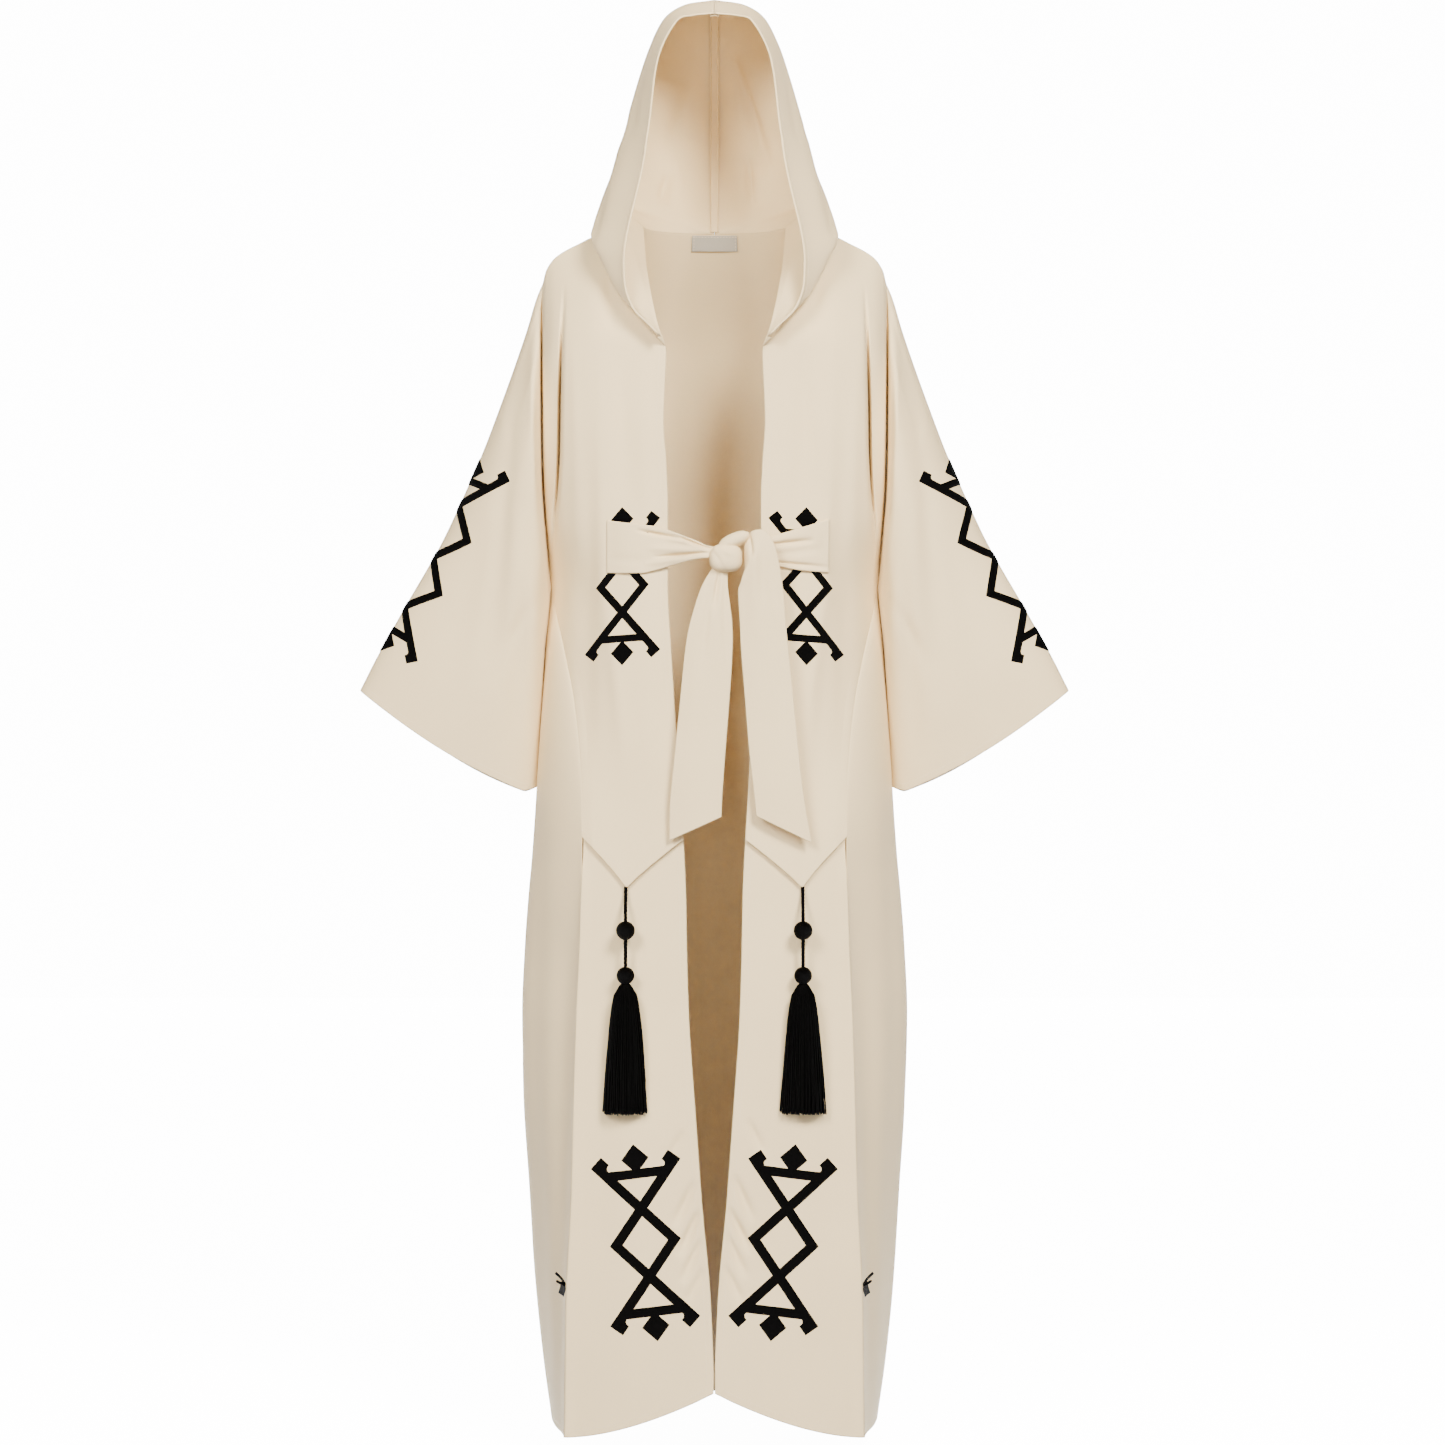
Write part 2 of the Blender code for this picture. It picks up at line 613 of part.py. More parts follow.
def sleeve_grid(overlay, gore, back):
    """The sleeve's loops. The first lies on the armhole: down the front, under and up the back."""
    upper = len(UPPER_ROWS)
    front_edge, back_edge = overlay["points"][:upper, -1], back["points"][:upper, 0]
    under = gore["points"][0, 1:-1]
    loop = np.concatenate([front_edge, under, back_edge[:0:-1]])
    sides = np.concatenate(
        [
            overlay["normals"][:upper, -1],
            gore["normals"][0, 1:-1],
            back["normals"][upper - 1 : 0 : -1, 0],
        ]
    )
    out = np.concatenate(
        [
            front_edge - overlay["points"][:upper, -2],
            under - gore["points"][1, 1:-1],
            (back_edge - back["points"][:upper, 1])[:0:-1],
        ]
    )
    out /= np.linalg.norm(out, axis=-1, keepdims=True)
    over, base = loop[0, 2], UNDERARM
    down = (loop[:, 2] - over) / (base - over)
    sign = np.sign(np.where(np.abs(loop[:, 1]) < 1e-6, 0, loop[:, 1]))
    own = np.abs(loop[:, 1])
    straight = loop[0, 0] + (under[:, 0].mean() - loop[0, 0]) * down
    stray = loop[:, 0] - straight
    rounded = np.clip(4 * down * (1 - down), 0, 1) ** SLEEVE_FULLNESS
    creased = down > CREASE_STARTS
    rows = []
    for along in SLEEVE_LOOPS:
        half = smooth(along, SLEEVE_DEPTH["along"], SLEEVE_DEPTH["half"])
        top_z = over + (OVERARM["z"].min() - over) * along
        low_z = base + (UNDERARM_LINE["z"].min() - base) * along
        top_x = smooth(top_z, OVERARM["z"], OVERARM["x"])
        low_x = smooth(low_z, UNDERARM_LINE["z"], UNDERARM_LINE["x"])
        mix = min(1.0, along / SLEEVE_SETTLED)
        fade = 1 - mix
        wide = np.where(creased, own * UNDERARM_CREASE / own[creased].max(), half * rounded)
        depth = own * half / SLEEVE_DEPTH["half"][0] * fade + wide * mix
        x = top_x + (low_x - top_x) * down + stray * fade
        z = top_z + (low_z - top_z) * down - CUFF_SAG * along * np.sin(math.pi * down)
        rows.append(np.stack([x, sign * depth, z], axis=-1))
    rows = np.array(rows)
    rows[0] = loop + SEAM_GAP * (out + sides)
    return rows


def panel(points, round_columns=False):
    return {"points": points, "normals": normals(points, round_columns)}


def faced(piece, row, column, axis, sign=1):
    """The grid's normals, turned so that the one at this row and column points along an axis."""
    piece["normals"] *= np.sign(sign * piece["normals"][row, column, axis])
    return piece


def build_body():
    """The body's panels, for one side. They meet edge to edge, on shared end normals."""
    overlay = faced(panel(overlay_grid()), -1, 1, 1, -1)
    front = faced(panel(front_grid()), -1, 1, 1, -1)
    gore = faced(panel(gore_grid()), 5, 4, 0)
    back = faced(panel(back_grid()), -2, 5, 1)
    underarm = len(UPPER_ROWS) - 1
    shared = len(SIDE_ROWS) + len(POINT_STEPS)
    share_normals(overlay["normals"][underarm:, -1], gore["normals"][:shared, 0])
    share_normals(back["normals"][underarm:, 0], gore["normals"][:, -1])
    share_normals(overlay["normals"][0], back["normals"][0, len(FRONT_COLUMNS) - 1 :: -1])
    front["normals"][:, -1] = gore["normals"][len(SIDE_ROWS) - 1 :, 0]
    middle = back["normals"][:, -1]
    middle[:, 0] = 0
    middle /= np.linalg.norm(middle, axis=-1, keepdims=True)
    return overlay, front, gore, back


def build_fronts(overlay, front, gore, crepe):
    for side, name in SIDES:
        points = overlay["points"].copy()
        draw_in(points, rows=(0,), columns=(-1,), gap=SEAM_GAP)
        wall(f"overlay_{name}", points, overlay["normals"], crepe, side)
        points = front["points"] - UNDERLAP * front["normals"]
        draw_in(points, columns=(-1,))
        wall(f"front_{name}", points, front["normals"], crepe, side)
        points = gore["points"].copy()
        draw_in(points, columns=(0, -1))
        wall(f"gore_{name}", points, gore["normals"], crepe, side)


def build_back(back, crepe):
    points = np.concatenate([back["points"], mirrored(back["points"], -1)[:, -2::-1]], axis=1)
    directions = np.concatenate([back["normals"], mirrored(back["normals"], -1)[:, -2::-1]], axis=1)
    draw_in(points, rows=(0,), columns=(0, -1), gap=SEAM_GAP)
    wall("back", points, directions, crepe)


def build_sleeves(overlay, gore, back, crepe):
    loops = sleeve_grid(overlay, gore, back)
    directions = normals(loops, True)
    directions *= np.sign((directions[5] * (loops[5] - loops[5].mean(axis=0))).sum())
    for side, name in SIDES:
        wall(f"sleeve_{name}", loops, directions, crepe, side, round_columns=True)


def build_hood(overlay, back, crepe):
    neck, body_out, edge_out = neck_seam(overlay, back)
    hood = faced(panel(hood_grid(neck + SEAM_GAP * (body_out + edge_out))), 5, 4, 0)
    middle = set_centre_normals(hood["points"], hood["normals"])
    points = hood["points"].copy()
    points[..., 0] = np.maximum(points[..., 0], SEAM_GAP / 2)
    for side, name in SIDES:
        wall(f"hood_{name}", points, hood["normals"], crepe, side)
    edge, edge_out = beside_centre(hood["points"], hood["normals"], middle)
    line = centre_line(hood["points"])
    points = np.stack([mirrored(edge, -1), line, edge], axis=1)
    directions = np.stack([mirrored(edge_out, -1), middle, edge_out], axis=1)
    points -= (CLOTH + TAPE_CLEARANCE) * directions
    wall("hood_tape", points, directions, crepe, thickness=TAPE_THICKNESS)


def build_label(satin):
    """A bare woven label, just inside the back of the neck."""
    across = np.linspace(LABEL_HALF_WIDTH, -LABEL_HALF_WIDTH, 7)
    top_y = NECK_BACK * np.sqrt(1 - (across / NECK_HALF_WIDTH) ** 2)
    rows = []
    for z in np.linspace(LABEL_TOP, LABEL_BOTTOM, 4):
        place = np.abs(across) / body_width("fold", 0.0)
        row = back_surface(place, np.full_like(across, z), 0.0, top_y)
        row[:, 0] = across
        rows.append(row)
    label = faced(panel(np.array(rows)), 1, 3, 1)
    points = label["points"] - (CLOTH + LABEL_CLEARANCE) * label["normals"]
    wall("neck_label", points, label["normals"], satin, thickness=LABEL_THICKNESS)


def overlay_y(x, z):
    """The front's outer face at one side's width and height, and the edge's beyond the opening."""
    opening, fold = body_width("opening", z), body_width("fold", z)
    place = np.clip((np.abs(x) - opening) / (fold - opening), 0, 1)
    return front_surface(place, z)[..., 1]


def band_grid(band):
    down = np.array(BAND_ROWS)[:, None]
    x = np.broadcast_to(band["x"], (len(BAND_ROWS), len(band["x"])))
    z = band["top"] + (band["bottom"] - band["top"]) * down
    gathered = np.clip(band["lift"] / BAND_GATHER_LIFT, 0, 1)
    pleats = BAND_PLEAT * gathered * np.cos(BAND_PLEATS * 2 * math.pi * down)
    y = overlay_y(x, z) - BAND_CLEARANCE - CLOTH - band["lift"] + pleats
    return np.stack([x, y, z], axis=-1)


def tail_grid(tail):
    across = np.array(TAIL_COLUMNS)
    left = np.stack([tail["left_x"], -tail["forward"], tail["left_z"]], axis=-1)[:, None]
    right = np.stack([tail["right_x"], -tail["forward"], tail["right_z"]], axis=-1)[:, None]
    points = left + (right - left) * across[:, None]
    points[..., 1] -= TAIL_BOW * np.sin(math.pi * across)
    return points


def build_belt(crepe):
    strips = (
        ("belt_band_left", band_grid(LEFT_BAND)),
        ("belt_band_right", band_grid(RIGHT_BAND)),
        ("belt_tail_left", tail_grid(LEFT_TAIL)),
        ("belt_tail_right", tail_grid(RIGHT_TAIL)),
    )
    for name, points in strips:
        strip = faced(panel(points), 3, 2, 1, -1)
        wall(name, points, strip["normals"], crepe)
    work = bmesh.new()
    bmesh.ops.create_uvsphere(work, u_segments=20, v_segments=12, radius=1.0)
    for vert in work.verts:
        unit = np.array(vert.co)
        boxy = (np.abs(unit) ** KNOT_BOXINESS).sum() ** (-1 / KNOT_BOXINESS)
        wrap = 1 - KNOT_GROOVE * (1 + math.cos(KNOT_WRAPS * (unit[2] - KNOT_SLANT * unit[0]))) / 2
        vert.co = np.array(KNOT_CENTRE) + np.array(KNOT_HALF) * unit * boxy * wrap
    mesh = bpy.data.meshes.new("belt_knot")
    work.to_mesh(mesh)
    work.free()
    add_object("belt_knot", mesh, crepe)


def turned(name, profile, sides, centre, closed_profile=False):
    """A turned solid from (radius, height) points. A closed profile makes a ring."""
    mesh = bpy.data.meshes.new(name)
    work = bmesh.new()
    points = profile if closed_profile else profile[1:-1]
    rings = []
    for radius, height in points:
        turns = [2 * math.pi * side / sides for side in range(sides)]
        rings.append(
            [
                work.verts.new((centre[0] + radius * math.cos(a), centre[1] + radius * math.sin(a), height))
                for a in turns
            ]
        )
    pairs = list(zip(rings, rings[1:]))
    if closed_profile:
        pairs.append((rings[-1], rings[0]))
    for upper, lower in pairs:
        for side in range(sides):
            after = (side + 1) % sides
            work.faces.new((upper[side], lower[side], lower[after], upper[after]))
    if not closed_profile:
        for ring, end in ((rings[0], profile[0]), (rings[-1], profile[-1])):
            pole = work.verts.new((centre[0], centre[1], end[1]))
            for side in range(sides):
                work.faces.new([ring[side], ring[(side + 1) % sides], pole])
    bmesh.ops.recalc_face_normals(work, faces=work.faces)
    work.to_mesh(mesh)
    work.free()
    return mesh


def hang_y():
    """How far forward the beads hang: clear of the lower front's face."""
    return overlay_y(TASSEL_X, HEAD_BOTTOM) + UNDERLAP - HANG_GAP - max(HEAD_PROFILE["radius"])


def cord_route():
    """The cord's points, from the tip of the point, forward to the beads and down to the tassel."""
    start_y = overlay_y(TASSEL_X, OVERLAY_TIP)
    start, end = OVERLAY_TIP - CORD_GAP, HEAD_TOP + SEAM_GAP
    route = []
    for height in np.linspace(start, end, CORD_POINTS):
        part = min(1.0, (start - height) / (start - CORD_STRAIGHT_BELOW))
        ease = part * part * (3 - 2 * part)
        route.append((TASSEL_X, start_y + (hang_y() - start_y) * ease, height))
    return route


def build_cord(name, side, finish):
    curve = bpy.data.curves.new(name, "CURVE")
    curve.dimensions = "3D"
    curve.bevel_depth = CORD_DIAMETER / 2
    curve.bevel_resolution = 2
    curve.use_fill_caps = True
    spline = curve.splines.new("POLY")
    route = cord_route()
    spline.points.add(len(route) - 1)
    for point, (x, y, z) in zip(spline.points, route):
        point.co = (side * x, y, z, 1)
    curve.materials.append(finish)
    bpy.context.scene.collection.objects.link(bpy.data.objects.new(name, curve))


def build_bead(name, side, height, radius, finish):
    bore = CORD_DIAMETER / 2 + BORE_CLEARANCE
    edge = math.acos(bore / radius)
    turns = [edge - 2 * edge * step / BEAD_STEPS for step in range(BEAD_STEPS + 1)]
    profile = [(radius * math.cos(a), height + radius * math.sin(a)) for a in turns]
    mesh = turned(name, profile, BEAD_SIDES, (side * TASSEL_X, hang_y()), closed_profile=True)
    add_object(name, mesh, finish)


def strand_mesh(side):
    """The tassel's strands: slim three-sided prisms in rings, rooted in the head and spread below."""
    work = bmesh.new()
    top_y = hang_y()
    reach = max(STRAND_RINGS["deep"]) + STRAND_CLEARANCE
    end_y = overlay_y(TASSEL_X, STRAND_END) + UNDERLAP - HANG_GAP - reach
    for count, root, wide, deep in zip(*STRAND_RINGS.values()):
        for place in range(int(count)):
            turn = 2 * math.pi * (place + 0.5) / count
            drop = (STRAND_END - STRAND_ROOT) + STRAND_UNEVEN * (place % 3)
            rings = []
            for part in STRAND_STEPS:
                spread = part**STRAND_FLARE
                x = side * TASSEL_X + math.cos(turn) * (root + (wide - root) * spread)
                y = top_y + (end_y - top_y) * part + math.sin(turn) * (root + (deep - root) * spread)
                z = STRAND_ROOT + drop * part
                half = STRAND_HALF_TOP + (STRAND_HALF_END - STRAND_HALF_TOP) * part
                corners = [turn + 2 * math.pi * corner / 3 for corner in range(3)]
                rings.append(
                    [work.verts.new((x + half * math.cos(a), y + half * math.sin(a), z)) for a in corners]
                )
            for upper, lower in zip(rings, rings[1:]):
                for corner in range(3):
                    after = (corner + 1) % 3
                    work.faces.new([upper[corner], lower[corner], lower[after], upper[after]])
            work.faces.new(rings[0])
            work.faces.new(rings[-1][::-1])
    bmesh.ops.recalc_face_normals(work, faces=work.faces)
    mesh = bpy.data.meshes.new("strands")
    work.to_mesh(mesh)
    work.free()
    return mesh


def build_tassel(name, side, finish):
    strands = add_object(f"{name}_strands", strand_mesh(side), finish)
    strands.hide_render = True
    strands.hide_set(True)
    strands.display_type = "WIRE"
    mesh = turned(name, list(zip(*HEAD_PROFILE.values())), HEAD_SIDES, (side * TASSEL_X, hang_y()))
    head = add_object(name, mesh, finish)
    union = head.modifiers.new("Roots", "BOOLEAN")
    union.operation = "UNION"
    union.object = strands


def main():
    clear_scene()
    crepe = material("crepe", (0.76, 0.68, 0.57), 0.85)
    satin = material("label_satin", (0.80, 0.79, 0.77), 0.55)
    thread = material("black_thread", (0.012, 0.011, 0.011), 0.70)
    overlay, front, gore, back = build_body()
    build_fronts(overlay, front, gore, crepe)
    build_back(back, crepe)
    build_sleeves(overlay, gore, back, crepe)
    build_hood(overlay, back, crepe)
    build_label(satin)
    build_belt(crepe)
    for side, name in SIDES:
        build_cord(f"tassel_cord_{name}", side, thread)
        for (height, radius), place in zip(zip(*BEADS.values()), ("upper", "lower")):
            build_bead(f"bead_{place}_{name}", side, height, radius, thread)
        build_tassel(f"tassel_{name}", side, thread)


main()
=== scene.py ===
"""A hooded kaftan of cream crepe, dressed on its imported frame."""

import json
import math
from functools import partial

import bpy
import numpy as np
from mathutils import Vector
from mathutils.bvhtree import BVHTree
from mathutils.geometry import delaunay_2d_cdt
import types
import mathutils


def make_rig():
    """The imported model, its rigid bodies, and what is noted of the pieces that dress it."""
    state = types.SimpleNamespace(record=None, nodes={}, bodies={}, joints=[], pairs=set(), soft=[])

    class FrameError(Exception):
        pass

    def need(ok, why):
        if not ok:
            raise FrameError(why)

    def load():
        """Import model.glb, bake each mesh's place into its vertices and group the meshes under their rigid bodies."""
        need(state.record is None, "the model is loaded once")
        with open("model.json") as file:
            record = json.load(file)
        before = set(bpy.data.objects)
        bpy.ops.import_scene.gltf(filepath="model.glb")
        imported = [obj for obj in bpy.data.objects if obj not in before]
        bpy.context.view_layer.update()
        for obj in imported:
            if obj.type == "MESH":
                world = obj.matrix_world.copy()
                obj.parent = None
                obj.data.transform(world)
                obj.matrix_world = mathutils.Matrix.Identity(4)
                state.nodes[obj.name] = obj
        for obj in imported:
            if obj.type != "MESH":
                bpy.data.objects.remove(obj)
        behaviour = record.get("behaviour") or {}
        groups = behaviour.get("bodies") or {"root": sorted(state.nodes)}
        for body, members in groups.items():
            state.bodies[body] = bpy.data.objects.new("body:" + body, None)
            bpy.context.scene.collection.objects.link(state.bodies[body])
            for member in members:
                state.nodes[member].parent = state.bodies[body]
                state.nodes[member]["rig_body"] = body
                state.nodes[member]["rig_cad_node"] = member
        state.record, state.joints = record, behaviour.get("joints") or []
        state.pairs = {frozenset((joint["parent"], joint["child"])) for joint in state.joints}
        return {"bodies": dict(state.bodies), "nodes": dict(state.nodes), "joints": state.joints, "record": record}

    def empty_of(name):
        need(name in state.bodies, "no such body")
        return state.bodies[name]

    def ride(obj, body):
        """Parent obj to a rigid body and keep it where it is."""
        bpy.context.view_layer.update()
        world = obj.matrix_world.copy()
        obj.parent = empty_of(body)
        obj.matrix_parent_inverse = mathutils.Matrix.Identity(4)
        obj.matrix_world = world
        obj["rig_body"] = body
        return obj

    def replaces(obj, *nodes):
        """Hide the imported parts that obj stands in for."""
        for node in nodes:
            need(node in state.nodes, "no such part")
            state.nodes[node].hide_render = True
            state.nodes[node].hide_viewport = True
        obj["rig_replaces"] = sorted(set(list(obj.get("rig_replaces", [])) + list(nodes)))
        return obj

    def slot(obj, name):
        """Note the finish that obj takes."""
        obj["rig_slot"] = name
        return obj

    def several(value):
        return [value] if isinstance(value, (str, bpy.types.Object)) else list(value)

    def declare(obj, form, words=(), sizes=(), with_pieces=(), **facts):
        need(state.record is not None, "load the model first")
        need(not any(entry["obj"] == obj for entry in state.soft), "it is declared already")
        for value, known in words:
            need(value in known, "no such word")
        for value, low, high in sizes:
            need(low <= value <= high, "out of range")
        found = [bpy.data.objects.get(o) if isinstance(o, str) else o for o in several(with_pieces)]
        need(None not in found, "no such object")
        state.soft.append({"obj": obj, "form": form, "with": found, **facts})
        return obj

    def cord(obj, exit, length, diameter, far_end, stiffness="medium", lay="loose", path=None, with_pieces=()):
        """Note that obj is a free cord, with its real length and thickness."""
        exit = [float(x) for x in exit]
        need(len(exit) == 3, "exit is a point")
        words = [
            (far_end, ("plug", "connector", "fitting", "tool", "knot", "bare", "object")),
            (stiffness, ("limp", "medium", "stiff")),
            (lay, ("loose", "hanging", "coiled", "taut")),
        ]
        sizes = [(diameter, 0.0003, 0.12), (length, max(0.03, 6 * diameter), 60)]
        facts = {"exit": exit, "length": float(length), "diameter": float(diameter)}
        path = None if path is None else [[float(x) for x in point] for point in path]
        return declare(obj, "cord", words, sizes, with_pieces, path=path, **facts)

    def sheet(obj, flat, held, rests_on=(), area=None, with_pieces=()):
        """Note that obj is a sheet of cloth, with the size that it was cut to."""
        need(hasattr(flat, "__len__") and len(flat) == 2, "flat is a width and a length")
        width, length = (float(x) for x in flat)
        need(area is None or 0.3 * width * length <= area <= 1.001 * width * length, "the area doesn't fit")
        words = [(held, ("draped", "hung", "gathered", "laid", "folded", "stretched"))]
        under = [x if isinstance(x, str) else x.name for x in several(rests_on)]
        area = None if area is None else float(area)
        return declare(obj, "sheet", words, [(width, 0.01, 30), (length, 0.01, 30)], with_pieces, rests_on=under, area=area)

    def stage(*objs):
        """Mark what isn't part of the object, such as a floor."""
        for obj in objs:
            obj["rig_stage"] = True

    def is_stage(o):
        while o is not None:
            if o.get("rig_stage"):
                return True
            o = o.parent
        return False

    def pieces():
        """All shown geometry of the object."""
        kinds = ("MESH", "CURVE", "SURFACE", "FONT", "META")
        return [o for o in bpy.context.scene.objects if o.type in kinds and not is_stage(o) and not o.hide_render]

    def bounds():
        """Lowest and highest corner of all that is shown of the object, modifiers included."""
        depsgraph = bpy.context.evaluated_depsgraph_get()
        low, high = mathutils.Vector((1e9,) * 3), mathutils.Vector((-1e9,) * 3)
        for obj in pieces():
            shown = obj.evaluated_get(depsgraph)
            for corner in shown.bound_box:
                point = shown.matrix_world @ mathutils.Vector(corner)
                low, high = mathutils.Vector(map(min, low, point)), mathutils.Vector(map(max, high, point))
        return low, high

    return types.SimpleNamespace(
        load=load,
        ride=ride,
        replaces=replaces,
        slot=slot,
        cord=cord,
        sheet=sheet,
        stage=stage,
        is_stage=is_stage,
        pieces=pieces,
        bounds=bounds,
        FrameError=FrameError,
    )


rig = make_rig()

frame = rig.load()
CAD_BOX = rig.bounds()

# The camera stands level with the hips, five metres in front, so the garment's own depth shows
# as it does in a studio picture taken from across a room.
CAMERA_PLACE = (0.0096, -5.0, -0.593)
CAMERA_ANGLE = math.radians(19.67)
SENSOR_WIDTH = 36.0
eye = bpy.data.cameras.new("camera")
eye.sensor_width = SENSOR_WIDTH
eye.lens = SENSOR_WIDTH / 2 / math.tan(CAMERA_ANGLE / 2)
camera = bpy.data.objects.new("camera", eye)
camera.location = CAMERA_PLACE
camera.rotation_euler = (math.pi / 2, 0.0, 0.0)
bpy.context.scene.collection.objects.link(camera)
bpy.context.scene.camera = camera

# The tassel cords: three plies of black viscose twisted together, sewn into the tip of each pointed
# hem. Each hangs forward over the fronts, straight down through two beads and on inside its tassel.
SIDES = ((-1, "left"), (1, "right"))
THREAD_BLACK = (0.0007, 0.0006, 0.00055)
CORD_X = 0.1035
CORD_HANG_Y = -0.14392
CORD_DIAMETER = 0.0046
CORD_LENGTH = 0.2046
PLIES = 3
PLY_RADIUS = 0.00118
PLY_OFF_CENTRE = 0.00112
PLY_LAY = 0.0135
PLY_SIDES = 8
CORD_STEPS = 150
THOUSANDTH = 0.001


def table(names, *rows):
    """Columns by name, from rows in millimetres, or in thousandths of what isn't a length."""
    return dict(zip(names.split(), THOUSANDTH * np.array(rows).T))


CORD_ROUTE = table(
    "y z",
    (-125.12, -785.4), (-128.66, -795.7), (-136.07, -806), (-142.52, -816.3), (-143.92, -826.6),
    (-143.92, -836.9), (-143.92, -847.2), (-143.92, -857.5), (-143.92, -867.8), (-143.92, -878.1),
    (-143.92, -888.4), (-143.92, -898.7), (-143.2, -927), (-142.25, -956), (-141.25, -985),
)


def feed(tree, made, values):
    """Sets a node's sockets. A value is a socket's own, or the output that feeds it."""
    for name, value in values.items():
        if isinstance(value, bpy.types.NodeSocket):
            tree.links.new(value, made.inputs[name])
        else:
            made.inputs[name].default_value = value


def node(tree, kind, values=None, **settings):
    made = tree.nodes.new(kind)
    for name, value in settings.items():
        setattr(made, name, value)
    feed(tree, made, values or {})
    return made


def node_group(name, kind, inputs, outputs):
    """An empty node group with its sockets, and its input and output nodes."""
    group = bpy.data.node_groups.new(name, kind)
    for label, shape, value in inputs:
        socket = group.interface.new_socket(label, in_out="INPUT", socket_type=f"NodeSocket{shape}")
        if value is not None:
            socket.default_value = value
    for label, shape in outputs:
        group.interface.new_socket(label, in_out="OUTPUT", socket_type=f"NodeSocket{shape}")
    return group, node(group, "NodeGroupInput").outputs, node(group, "NodeGroupOutput")


def maths(tree, operation, *values):
    """One sum on values or sockets."""
    return node(tree, "ShaderNodeMath", dict(enumerate(values)), operation=operation).outputs[0]


def noise(tree, where, scale, detail, **more):
    values = {"Vector": where, "Scale": scale, "Detail": detail, **more}
    return node(tree, "ShaderNodeTexNoise", values).outputs["Fac"]


def in_metres(tree):
    """The places in a piece's own uv map, and its points in space."""
    flat = node(tree, "ShaderNodeUVMap", uv_map="lay").outputs["UV"]
    return flat, node(tree, "ShaderNodeTexCoord").outputs["Object"]


def ranged(tree, value, low, high, start=0.0, end=1.0):
    """What lies from start to end, stretched to lie from low to high."""
    return node(tree, "ShaderNodeMapRange", {0: value, 1: start, 2: end, 3: low, 4: high}).outputs[0]


def two_tones(tree, share, colour, dark, light):
    """A colour's mix from its darker to its lighter tone."""
    tones = [(*(tone * part for part in colour), 1) for tone in (dark, light)]
    mixed = node(tree, "ShaderNodeMix", {0: share, 6: tones[0], 7: tones[1]}, data_type="RGBA")
    return mixed.outputs[2]


def bumped(tree, height, distance, strength):
    values = {"Height": height, "Distance": distance, "Strength": strength}
    return node(tree, "ShaderNodeBump", values).outputs[0]


def new_material(name):
    """A new material, its node tree and its shader."""
    made = bpy.data.materials.new(name)
    made.use_nodes = True
    return made, made.node_tree, made.node_tree.nodes["Principled BSDF"]


def thread_lay_group():
    """Fine ridges of spun thread across the u direction of a piece's uv map, in metres."""
    inputs = [("Ridges per metre", "Float", 1400.0), ("Slant", "Float", 0.0)]
    outputs = [("Ridge", "Float"), ("Fuzz", "Float")]
    group, given, end = node_group("thread_lay", "ShaderNodeTree", inputs, outputs)
    flat, space = in_metres(group)
    parts = node(group, "ShaderNodeSeparateXYZ", {0: flat}).outputs
    across = maths(group, "MULTIPLY_ADD", parts["Y"], given["Slant"], parts["X"])
    turns = maths(group, "MULTIPLY", across, given["Ridges per metre"])
    wave = maths(group, "SINE", maths(group, "MULTIPLY", turns, 2 * math.pi))
    ridge = maths(group, "MULTIPLY_ADD", wave, 0.5, 0.5)
    feed(group, end, {"Ridge": ridge, "Fuzz": noise(group, space, 900.0, 3.0)})
    return group


THREAD_LAY = thread_lay_group()


def thread_material(name, ridges, slant, bump, roughness):
    """Black viscose thread: dark, with painted highlights along its ridges and painted shade between them, which run
    along its strands.
    """
    made, tree, shader = new_material(name)
    values = {"Ridges per metre": ridges, "Slant": slant}
    ridge, fuzz = node(tree, "ShaderNodeGroup", values, node_tree=THREAD_LAY).outputs
    # Painted highlight and shade: the base colour is lighter on each ridge's crest and darker in the grooves, times a
    # random change of tone.
    share = maths(tree, "MULTIPLY", ranged(tree, ridge, 0.62, 1.25), fuzz)
    height = maths(tree, "MULTIPLY_ADD", fuzz, 0.4, ridge)
    look = {
        "Base Color": two_tones(tree, share, THREAD_BLACK, 0.45, 1.45),
        "Roughness": ranged(tree, fuzz, roughness - 0.08, roughness + 0.08),
        "Normal": bumped(tree, height, bump, 0.7),
        "Specular IOR Level": 0.010,
    }
    feed(tree, shader, look)
    return made


def lengths(vectors):
    return np.linalg.norm(vectors, axis=-1, keepdims=True)


def unit(vectors):
    return vectors / np.maximum(lengths(vectors), 1e-12)


def add_piece(name, points, faces, places, finish):
    """A smooth mesh object with outward faces. Each face's corners have their own places in metres."""
    points, faces, places = np.asarray(points), np.asarray(faces), np.asarray(places)
    a, b, c, d = (points[faces[:, k]] for k in (0, 1, 2, -1))
    volume = (a * np.cross(b, c)).sum() + (a * np.cross(c, d)).sum()
    if volume < 0:
        faces, places = faces[:, ::-1], places[:, ::-1]
    real = faces != np.roll(faces, -1, axis=1)
    mesh = bpy.data.meshes.new(name)
    mesh.from_pydata(points.tolist(), [], [face[kept].tolist() for face, kept in zip(faces, real)])
    mesh.uv_layers.new(name="lay").data.foreach_set("uv", places[real].reshape(-1).astype(np.float32))
    mesh.materials.append(finish)
    mesh.shade_smooth()
    made = bpy.data.objects.new(name, mesh)
    bpy.context.scene.collection.objects.link(made)
    return made


def fit(piece, slot, *nodes):
    """The piece belongs to the garment's one body, has a record slot and stands for these solids."""
    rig.ride(piece, "root")
    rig.slot(piece, slot)
    if nodes:
        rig.replaces(piece, *nodes)
    return piece


def along_line(points):
    """The distance along a line of points at each of them."""
    return np.concatenate([[0.0], np.cumsum(lengths(np.diff(points, axis=0))[:, 0])])


